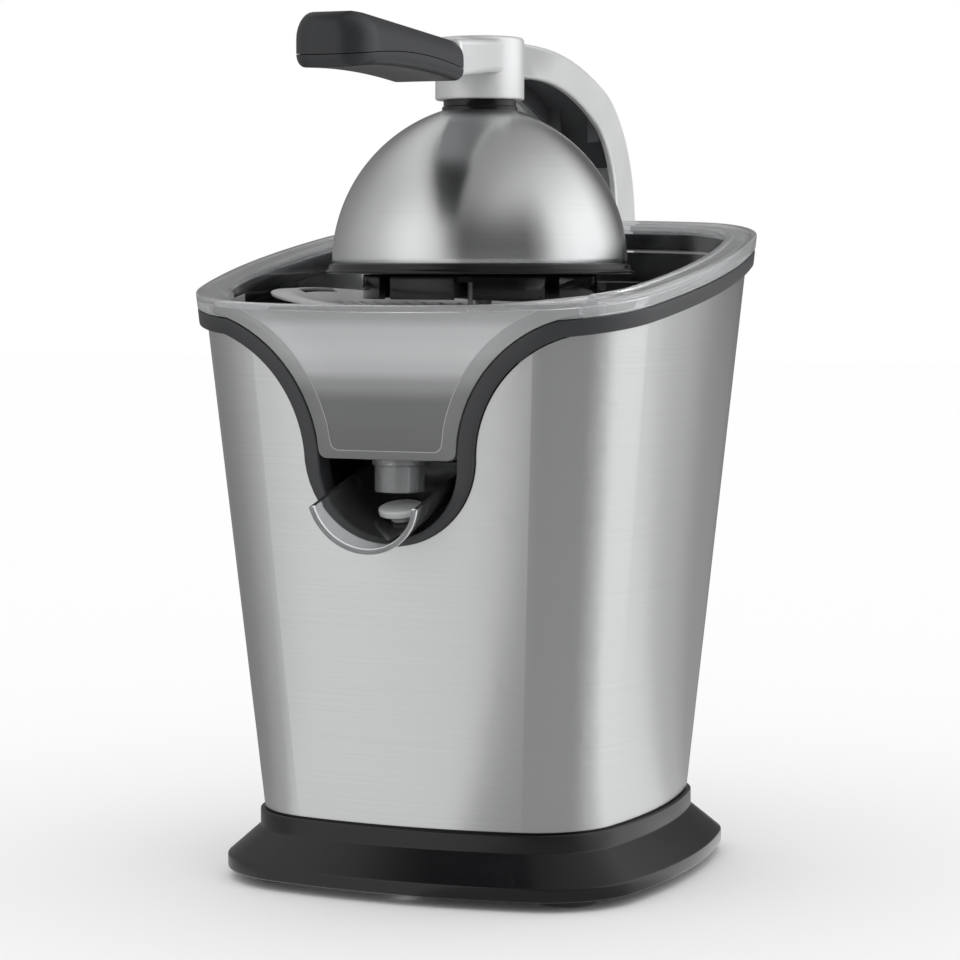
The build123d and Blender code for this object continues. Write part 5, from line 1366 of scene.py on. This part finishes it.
@dataclass(frozen=True)
class PressArm:
    """Cast arm: a channel-section arch with a round hub and a front bar."""

    half: float = 16.0
    wall: float = 3.0
    top_z: float = 334.5
    under_z: float = 320.7
    flat_y: float = 25.0
    back_y: float = 148.0
    front_y: float = 122.0
    pivot_z: float = 240.0
    hub_r: float = 18.0
    hub_z: float = 311.4
    hub_top: float = 336.4
    cap_r: float = 12.2
    cap_depth: float = 2.4
    crown_r: float = 250.0
    shoulder_r: float = 64.0
    under_crown_r: float = 180.0
    under_shoulder_r: float = 40.0
    crown_steps: int = 8
    shoulder_steps: int = 18
    heel_steps: int = 16
    arm_start: float = 2.0
    arm_ease: float = 1.3
    hollow_drop: float = 26.0
    hollow_heel: Triple = (2.0, 6.0, 8.0)
    bar_half: float = 14.5
    bar_end: float = -56.0
    bar_root: float = 4.0
    bar_top: Pair = (335.6, 332.0)
    bar_under: Pair = (321.5, 317.2)
    bar_ease: float = 2.2
    liner_gap: float = 0.2
    liner_t: float = 2.6
    fin_h: float = 7.0
    fin_t: float = 1.2
    fin_x: float = 12.1
    fin_sink: float = 0.5
    band_points: int = 20
    gusset_w: float = 5.6
    gusset_y: float = 110.0
    gusset_t: float = 2.2
    gusset_span: Pair = (298.6, 314.0)
    box_top: float = 336.5

    def arch(
        self, top_z: float, crown_r: float, shoulder_r: float, end_y: float, inset: float = 0.0
    ) -> list[Vector]:
        """Points of an arch line in side view, from its flat start to where it stands upright.

        Args:
            top_z: Height of the flat start.
            crown_r: Radius of the long curve.
            shoulder_r: Radius of the tight curve after it.
            end_y: Place where the line stands upright.
            inset: How far the points stand in from the line.

        Returns:
            Depth and height of the points.
        """
        join = math.asin((end_y - shoulder_r - self.flat_y) / (crown_r - shoulder_r))
        crown = Vector((self.flat_y, top_z - crown_r))
        shoulder = crown + Vector((math.sin(join), math.cos(join))) * (crown_r - shoulder_r)
        points = []
        for k in range(self.crown_steps + 1):
            lean = join * k / self.crown_steps
            points.append(crown + Vector((math.sin(lean), math.cos(lean))) * (crown_r - inset))
        for k in range(1, self.shoulder_steps + 1):
            lean = join + (math.pi / 2 - join) * k / self.shoulder_steps
            points.append(shoulder + Vector((math.sin(lean), math.cos(lean))) * (shoulder_r - inset))
        return points

    def back(self, inset: float = 0.0) -> list[Vector]:
        """Points of the arm's outer arch, or of a line inside it."""
        return self.arch(self.top_z, self.crown_r, self.shoulder_r, self.back_y, inset)

    def side(self, name: str, outline: list[Vector], half: float) -> Piece:
        """Solid from a side view, the same to both sides of the middle."""
        return Bench.prism(name, [Vector((-half, y, z)) for y, z in outline], Vector((2 * half, 0, 0)))

    def build(self) -> None:
        """Builds the arch, its channel, the hub and the bar, and joins them."""
        under = self.arch(self.under_z, self.under_crown_r, self.under_shoulder_r, self.front_y)
        middle = (self.back_y + self.front_y) / 2
        radius = (self.back_y - self.front_y) / 2
        heel = []
        for k in range(self.heel_steps + 1):
            t = math.pi * k / self.heel_steps
            heel.append(Vector((middle + radius * math.cos(t), self.pivot_z - radius * math.sin(t))))
        start = [Vector((self.arm_start, z)) for z in (self.top_z, self.under_z)]
        outline = [start[0], *self.back(), *heel, *reversed(under), start[1]]
        piece = self.side("press_arm", outline, self.half)
        channel = self.side("arm_hollow", self.hollow(middle), self.half - self.wall)
        Bench.combine(piece, channel, "DIFFERENCE")
        Bench.ease(piece, self.arm_ease, angle=50.0)
        Bench.combine(piece, self.bar(), "UNION")
        foot = self.hub_top - self.cap_depth
        hub = Bench.rounded(
            [
                (0.0, self.hub_z, 0.0),
                (self.hub_r, self.hub_z, 0.9),
                (self.hub_r, self.hub_top, 1.6),
                (self.cap_r, self.hub_top, 0.4),
                (self.cap_r, foot, 0.0),
                (0.0, foot, 0.0),
            ]
        )
        Bench.combine(piece, Bench.lathe("arm_hub", hub, 96), "UNION")
        Bench.smooth(piece, 30.0)
        Bench.show(piece, Body.LEVER, CAST_SILVER, "lever_arm")
        self.liner()
        self.cap()

    def hollow(self, middle: float) -> list[Vector]:
        """Side view of the channel in the arm, with its heel about the middle of the hinge end."""
        heel_drop, heel_out, heel_low = self.hollow_heel
        low = self.pivot_z - self.hollow_drop
        start = self.hub_r + self.wall
        return [
            Vector((start, self.top_z - self.wall)),
            *self.back(self.wall),
            Vector((self.back_y - self.wall, self.pivot_z - heel_drop)),
            Vector((middle + heel_out, self.pivot_z - heel_low)),
            Vector((middle + heel_out, low)),
            Vector((start, low)),
        ]

    def bar(self) -> Piece:
        """Rounded bar from the hub forward to the grip."""
        root_top, end_top = self.bar_top
        root_under, end_under = self.bar_under
        outline = [
            (self.bar_root, root_top),
            (-self.hub_r, self.top_z),
            (self.bar_end, end_top),
            (self.bar_end, end_under),
            (-self.hub_r, root_under),
            (self.bar_root, root_under),
        ]
        piece = self.side("arm_bar", [Vector(p) for p in outline], self.bar_half)
        return Bench.ease(piece, self.bar_ease, 4, 50.0)

    def band(self, name: str, near: float, far: float, half: float) -> Piece:
        """Strip that follows the inside of the arch between two depths, to both sides of the middle."""
        line = self.back((near + far) / 2)[: self.band_points]
        piece = Bench.chain(name, [Vector((-half, y, z)) for y, z in line])
        bpy.ops.mesh.extrude_region_move(TRANSFORM_OT_translate={"value": (2 * half * MM, 0.0, 0.0)})
        Bench.close(piece)
        return Bench.thicken(piece, far - near)

    def liner(self) -> None:
        """Black liner in the arch with side walls and two gussets."""
        near = self.wall + self.liner_gap
        under = near + self.liner_t
        piece = self.band("arch_liner", near, under, self.half - self.wall - self.liner_gap)
        for place in (-self.fin_x, self.fin_x):
            fin = self.band("liner_fin", under - self.fin_sink, under + self.fin_h, self.fin_t / 2)
            bpy.ops.object.mode_set(mode="EDIT")
            bpy.ops.mesh.select_all(action="SELECT")
            bpy.ops.transform.translate(value=(place * MM, 0.0, 0.0))
            bpy.ops.object.mode_set(mode="OBJECT")
            inner = math.copysign(self.fin_x - self.gusset_w, place)
            plan = Bench.rectangle(place, inner, *self.gusset_span)
            gusset = [Vector((x, self.gusset_y, z)) for x, z in plan]
            Bench.join(piece, fin, Bench.prism("liner_gusset", gusset, Vector((0, self.gusset_t, 0))))
        # The liner's grey finish is painted light on black plastic.
        Bench.show(Bench.ease(piece, 0.3, 2, 50.0), Body.LEVER, BLACK_LINER_LIT, "arm_liner")

    def cap(self) -> None:
        """Black cap that stands a little proud of the hub."""
        radius = self.cap_r - self.liner_gap
        foot = self.hub_top - self.cap_depth
        roundings = (0.0, 0.2, 0.5, 0.0)
        corners = Bench.rectangle(0.0, radius, foot, self.box_top)
        profile = Bench.rounded([(r, z, turn) for (r, z), turn in zip(corners, roundings)])
        Bench.show(Bench.lathe("hub_top_cap", profile, 64), Body.LEVER, BLACK_SATIN, "hub_cap")


@dataclass(frozen=True)
class Grip:
    """Black grip in two shells with a fine scalloped seam."""

    half: float = 16.0
    root_y: float = -56.2
    tip_y: float = -148.0
    root_top: float = 331.8
    tip_top: float = 336.5
    waist_z: float = 317.6
    belly_drop: float = 1.7
    plan_r: float = 12.0
    tip_r: float = 6.0
    belly_r: float = 3.0
    top_edge: float = 7.6
    low_edge: float = 4.0
    curve_half: float = 46.0
    straight_steps: int = 10
    end_steps: int = 14
    seam_gap: float = 0.15
    seam_z: float = 323.4
    seam_drop: float = 2.9
    seam_span: Pair = (-40.0, -154.0)
    seam_steps: int = 16
    seam_top: float = 345.0
    seam_half: float = 20.0

    def curve(self, y: float) -> float:
        """How far belly and seam curve down at a place along the grip, as a share of their drop."""
        return ((y - (self.root_y + self.tip_y) / 2) / self.curve_half) ** 2

    @staticmethod
    def cut_back(radius: float, left: float) -> float:
        """How far a rounding has cut back at a distance from the tip."""
        if left >= radius:
            return 0.0
        return radius - math.sqrt(radius**2 - (radius - left) ** 2)

    def station(self, y: float) -> Triple:
        """Half width, bottom and top of the grip at a place along it."""
        left = y - self.tip_y
        share = (self.root_y - y) / (self.root_y - self.tip_y)
        low = self.waist_z - self.belly_drop * self.curve(y)
        high = self.root_top + (self.tip_top - self.root_top) * share
        return (
            self.half - self.cut_back(self.plan_r, left),
            low + self.cut_back(self.belly_r, left),
            high - self.cut_back(self.tip_r, left),
        )

    def blank(self, name: str) -> Piece:
        """Whole grip: a rounded section carried from root to tip."""
        half, low, high = self.station(self.root_y)
        corners = [(x, high, self.top_edge) for x in (half, -half)]
        corners += [(x, low, self.low_edge) for x in (-half, half)]
        section = Bench.rounded(corners, 7)
        ring = [Vector((x, self.root_y, z)) for x, z in section]
        piece = Bench.chain(name, [*ring, ring[0]])
        bpy.ops.mesh.edge_face_add()
        length = self.root_y - self.tip_y - self.plan_r
        steps = self.straight_steps
        straight = [self.root_y - length * k / steps for k in range(1, steps + 1)]
        turns = [math.pi / 2 * k / self.end_steps for k in range(1, self.end_steps)]
        round_end = [self.tip_y + self.plan_r * (1 - math.sin(t)) for t in turns]
        here = self.root_y
        for y in [*straight, *round_end, self.tip_y]:
            there_half, there_low, there_high = self.station(y)
            scale = Vector((there_half / half, 1, (there_high - there_low) / (high - low)))
            Bench.grow(scale, Vector((0, here, low)), Vector((0, y - here, there_low - low)))
            half, low, high, here = there_half, there_low, there_high, y
        return Bench.close(piece)

    def seam(self, shift: float) -> Piece:
        """Block above the scalloped seam."""
        start, stop = self.seam_span
        places = [start + (stop - start) * k / self.seam_steps for k in range(self.seam_steps + 1)]
        line = [(y, self.seam_z - self.seam_drop * self.curve(y) + shift) for y in places]
        outline = [*line, (stop, self.seam_top), (start, self.seam_top)]
        points = [Vector((-self.seam_half, y, z)) for y, z in outline]
        return Bench.prism("grip_seam", points, Vector((2 * self.seam_half, 0, 0)))

    def build(self) -> None:
        """Builds both shells."""
        upper = Bench.combine(self.blank("grip_top"), self.seam(self.seam_gap), "INTERSECT")
        lower = Bench.combine(self.blank("grip_belly"), self.seam(-self.seam_gap), "DIFFERENCE")
        Bench.show(Bench.smooth(upper), Body.LEVER, BLACK_GRIP, "grip_upper")
        Bench.show(Bench.smooth(lower), Body.LEVER, BLACK_GRIP, "grip_lower")


@dataclass(frozen=True)
class DripSpout:
    """Clear tilting trough and the grey plug that closes the nozzle."""

    pivot: Pair = (-60.0, 160.0)
    open_deg: float = 14.0
    radius: float = 22.2
    wall: float = 1.7
    bottom_z: float = 150.5
    top_z: float = 168.5
    back_y: float = -56.5
    tip_y: float = -117.0
    lip_r: float = 1.1
    lip_steps: int = 12
    floor_steps: int = 32
    edge_ease: float = 0.5
    plug_corners: Corners = (
        (0.0, 152.6, 0.0), (4.2, 152.6, 0.3), (4.2, 154.0, 0.5), (8.7, 155.7, 0.4),
        (8.7, 158.2, 0.9), (0.0, 158.2, 0.0),
    )

    def tipped(self, point: Vector) -> Vector:
        """Turns a point of the level trough to the pouring position."""
        pivot = Vector((0, *self.pivot))
        return pivot + Matrix.Rotation(math.radians(self.open_deg), 3, "X") @ (point - pivot)

    def arc(self, radius: float) -> list[Vector]:
        """Width and height of the trough's round floor, from its left edge to its right edge."""
        centre = self.bottom_z + self.radius
        edge = math.acos((centre - self.top_z) / radius)
        turns = [-edge + 2 * edge * k / self.floor_steps for k in range(self.floor_steps + 1)]
        return [Vector((radius * math.sin(t), centre - radius * math.cos(t))) for t in turns]

    def slab(self, name: str, outline: list[Vector], start_y: float, length: float) -> Piece:
        """Solid of an upright outline, pushed forward and tipped open."""
        points = [self.tipped(Vector((x, start_y, z))) for x, z in outline]
        push = self.tipped(Vector((0, start_y - length, 0))) - self.tipped(Vector((0, start_y, 0)))
        return Bench.prism(name, points, push)

    def build(self) -> None:
        """Builds the trough with its closed back, its rolled edge and the plug."""
        outer = self.arc(self.radius)
        inner = self.arc(self.radius - self.wall)
        length = self.back_y - self.tip_y
        piece = self.slab("spout_scoop", [*outer, *reversed(inner)], self.back_y, length)
        back = self.slab("spout_back", outer, self.back_y, self.wall)
        Bench.combine(piece, back, "UNION")
        Bench.ease(piece, self.edge_ease)
        Bench.show(piece, Body.SPOUT, CLEAR_SPOUT, "spout_trough")
        self.lip()
        self.plug()

    def lip(self) -> None:
        """Rolled edge along the front of the trough."""
        middle = self.radius - self.wall / 2
        centre = Vector((0, self.tip_y + self.lip_r, self.bottom_z + self.radius))
        edge = math.acos((self.radius - (self.top_z - self.bottom_z)) / middle)
        out = Vector((-math.sin(edge), 0, -math.cos(edge)))
        ring = []
        for k in range(self.lip_steps + 1):
            t = 2 * math.pi * k / self.lip_steps
            forward = Vector((0, self.lip_r * math.sin(t), 0))
            ring.append(self.tipped(centre + out * (middle + self.lip_r * math.cos(t)) + forward))
        piece = Bench.chain("spout_lip", ring)
        bpy.ops.mesh.edge_face_add()
        axis = self.tipped(Vector((0, 1, 0))) - self.tipped(Vector())
        bpy.ops.mesh.spin(steps=40, angle=2 * edge, center=self.tipped(centre) * MM, axis=axis)
        Bench.close(piece)
        # The lip's whiter finish is a painted highlight along the edge.
        Bench.show(piece, Body.SPOUT, CLEAR_EDGE_HIGHLIGHT)

    def plug(self) -> None:
        """Grey plug that closes the nozzle when the trough is tilted up."""
        foot = self.tipped(Vector((0, ClearBowl.nozzle_y, 0)))
        plug = Bench.lathe("nozzle_plug", Bench.rounded(list(self.plug_corners)), 48, foot, self.open_deg)
        Bench.show(plug, Body.SPOUT, SILICONE, "drip_plug")


@dataclass(frozen=True)
class Studio:
    """Pale floor, soft surround and the camera."""

    floor_size: float = 12.0
    lens: float = 111.6
    sensor: float = 36.0
    camera_place: Triple = (0.4535, -1.1247, 0.2458)
    camera_azimuth: float = 21.955
    camera_pitch: float = 4.17
    side_place: Triple = (2.0, 0.15, 1.2)
    side_size: float = 2.4
    side_power: float = 42.0
    side_aim: Triple = (0.0, 0.0, 0.2)
    roof_from: Pair = (0.35, 0.8)
    fill: float = 1.12
    sky_bands: Pairs = (
        (-180, 0.14), (-150, 0.18), (-110, 0.38), (-70, 0.70), (-48, 1.05), (-34, 1.2), (-20, 1.1),
        (-10, 0.85), (-2, 0.35), (8, 0.07), (60, 0.07), (72, 0.35), (86, 1.1), (105, 1.4),
        (132, 1.4), (146, 0.9), (162, 0.36), (172, 0.14), (180, 0.14),
    )
    floor_bands: Pairs = (
        (-180, 0.25), (-120, 0.25), (-85, 0.33), (-55, 0.52), (-48, 0.70), (-42, 0.88),
        (-20, 0.86), (2.5, 0.86), (6, 0.46), (11, 0.41), (60, 0.41), (77, 0.66), (90, 1.05),
        (126, 1.02), (136, 0.92), (143, 0.62), (152, 0.58), (162, 0.40), (180, 0.32),
    )
    roof_bands: Pairs = (
        (-90, 0.35), (-60, 0.55), (-36, 0.80), (-28, 0.66), (-22, 0.02), (-7, 0.01), (-2, 0.32),
        (6, 0.40), (20, 0.45), (34, 0.75), (60, 0.95), (90, 1.1),
    )

    def ramp(
        self, board: Board, turn: Socket, bands: Pairs
    ) -> Socket:
        """Level of a row of soft panels at an angle in radians."""
        share = board.math("ADD", board.math("DIVIDE", turn, 2 * math.pi), 0.5)
        return board.ramp(share, [(degrees / 360 + 0.5, (level,) * 3) for degrees, level in bands])

    def turn(
        self, board: Board, vector: Socket
    ) -> tuple[Socket, bpy.types.Node]:
        """Angle round the object, from the front toward the right, and the split vector."""
        parts = board.feed(board.add("SeparateXYZ"), Vector=vector)
        toward = board.math("MULTIPLY", parts.outputs["Y"], -1.0)
        return board.math("ARCTAN2", parts.outputs["X"], toward), parts

    def sky_group(self) -> bpy.types.NodeTree:
        """Builds or returns the group that gives the panels round and over the object by direction."""
        if group := bpy.data.node_groups.get("studio_panels"):
            return group
        board, entry, leave = new_group("studio_panels", {"Vector": "Vector"}, {"Level": "Color"})
        turn, parts = self.turn(board, entry["Vector"])
        tilt = board.math("ARCTAN2", parts.outputs["X"], parts.outputs["Z"])
        low, high = self.roof_from
        share = board.add("MapRange", interpolation_type="SMOOTHSTEP")
        board.feed(share, Value=parts.outputs["Z"], From_Min=low, From_Max=high)
        mix = board.add("Mix", data_type="RGBA")
        board.tree.links.new(share.outputs["Result"], mix.inputs["Factor"])
        board.tree.links.new(self.ramp(board, turn, self.sky_bands), mix.inputs[6])
        board.tree.links.new(self.ramp(board, tilt, self.roof_bands), mix.inputs[7])
        board.tree.links.new(mix.outputs[2], leave["Level"])
        return board.tree

    def floor_group(self) -> bpy.types.NodeTree:
        """Builds or returns the group that gives the panels as the floor mirrors them."""
        if group := bpy.data.node_groups.get("floor_panels"):
            return group
        board, entry, leave = new_group("floor_panels", {"Vector": "Vector"}, {"Level": "Color"})
        turn, _ = self.turn(board, entry["Vector"])
        board.tree.links.new(self.ramp(board, turn, self.floor_bands), leave["Level"])
        return board.tree

    def floor(self) -> Piece:
        """Adds the floor to the stage: white to the eye, banded like the panels in reflections."""
        bpy.ops.object.select_all(action="DESELECT")
        bpy.ops.mesh.primitive_plane_add(size=self.floor_size)
        plane = bpy.context.object
        plane.name = "studio_floor"
        material = bpy.data.materials.new("pale_floor")
        material.use_nodes = True
        board = Board(material.node_tree)
        shader = material.node_tree.nodes["Principled BSDF"]
        board.feed(shader, Base_Color=(0.9, 0.9, 0.9, 1.0), Roughness=0.9, Specular_IOR_Level=0.0)
        group = board.add("Group", node_tree=self.floor_group())
        board.feed(group, Vector=board.add("TexCoord").outputs["Object"])
        glow = board.feed(board.add("Emission"), Color=group.outputs["Level"], Strength=1.0)
        mix = board.add("MixShader")
        board.tree.links.new(board.add("LightPath").outputs["Is Glossy Ray"], mix.inputs["Fac"])
        board.tree.links.new(shader.outputs[0], mix.inputs[1])
        board.tree.links.new(glow.outputs[0], mix.inputs[2])
        surface = material.node_tree.nodes["Material Output"].inputs["Surface"]
        board.tree.links.new(mix.outputs[0], surface)
        plane.data.materials.append(material)
        return plane

    def light(self, floor: Piece) -> None:
        """Sets a surround that is white to the eye, even for matt surfaces and banded in reflections.

        Args:
            floor: Floor that the side lamp leaves out, so that it throws no shadow there.
        """
        world = bpy.data.worlds.new("studio")
        bpy.context.scene.world = world
        world.use_nodes = True
        board = Board(world.node_tree)
        ray = board.add("LightPath")
        group = board.add("Group", node_tree=self.sky_group())
        board.feed(group, Vector=board.add("TexCoord").outputs["Generated"])
        even = board.span(ray.outputs["Is Diffuse Ray"], 1.0, self.fill)
        mix = board.add("Mix", data_type="RGBA")
        board.tree.links.new(ray.outputs["Is Glossy Ray"], mix.inputs["Factor"])
        board.tree.links.new(even, mix.inputs[6])
        board.tree.links.new(group.outputs["Level"], mix.inputs[7])
        board.feed(world.node_tree.nodes["Background"], Color=mix.outputs[2], Strength=1.0)
        lamp = bpy.data.lights.new("side_panel", "AREA")
        lamp.size = self.side_size
        lamp.energy = self.side_power
        panel = bpy.data.objects.new("side_panel", lamp)
        panel.location = self.side_place
        aim = Vector(self.side_aim) - Vector(self.side_place)
        panel.rotation_euler = aim.to_track_quat("-Z", "Y").to_euler()
        panel.visible_glossy = False
        bpy.context.scene.collection.objects.link(panel)
        skips = bpy.data.collections.new("side_panel_skips")
        skips.objects.link(floor)
        panel.light_linking.receiver_collection = skips
        skips.collection_objects[0].light_linking.link_state = "EXCLUDE"

    def camera(self) -> None:
        """Adds the camera at the photograph's angle."""
        lens = bpy.data.cameras.new("photo_camera")
        lens.lens = self.lens
        lens.sensor_width = self.sensor
        obj = bpy.data.objects.new("photo_camera", lens)
        obj.location = self.camera_place
        pitch = math.radians(90 - self.camera_pitch)
        obj.rotation_euler = (pitch, 0.0, math.radians(self.camera_azimuth))
        bpy.context.scene.collection.objects.link(obj)
        bpy.context.scene.camera = obj
        bpy.context.scene.view_settings.view_transform = "Standard"


def dress_nodes() -> None:
    """Gives every carried-over node its finish."""
    for name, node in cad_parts.items():
        NODE_FINISH[name].dress(node)


def main() -> None:
    """Dresses the nodes, builds the pieces and sets the studio."""
    logging.basicConfig(level=logging.INFO, format="%(message)s")
    dress_nodes()
    kinds = (BasePlinth, TrimBand, ClearBowl, Strainer, Reamer, PressDome, PressArm, Grip, DripSpout)
    for kind in kinds:
        kind().build()
    studio = Studio()
    studio.light(studio.floor())
    studio.camera()


if __name__ == "__main__":
    main()
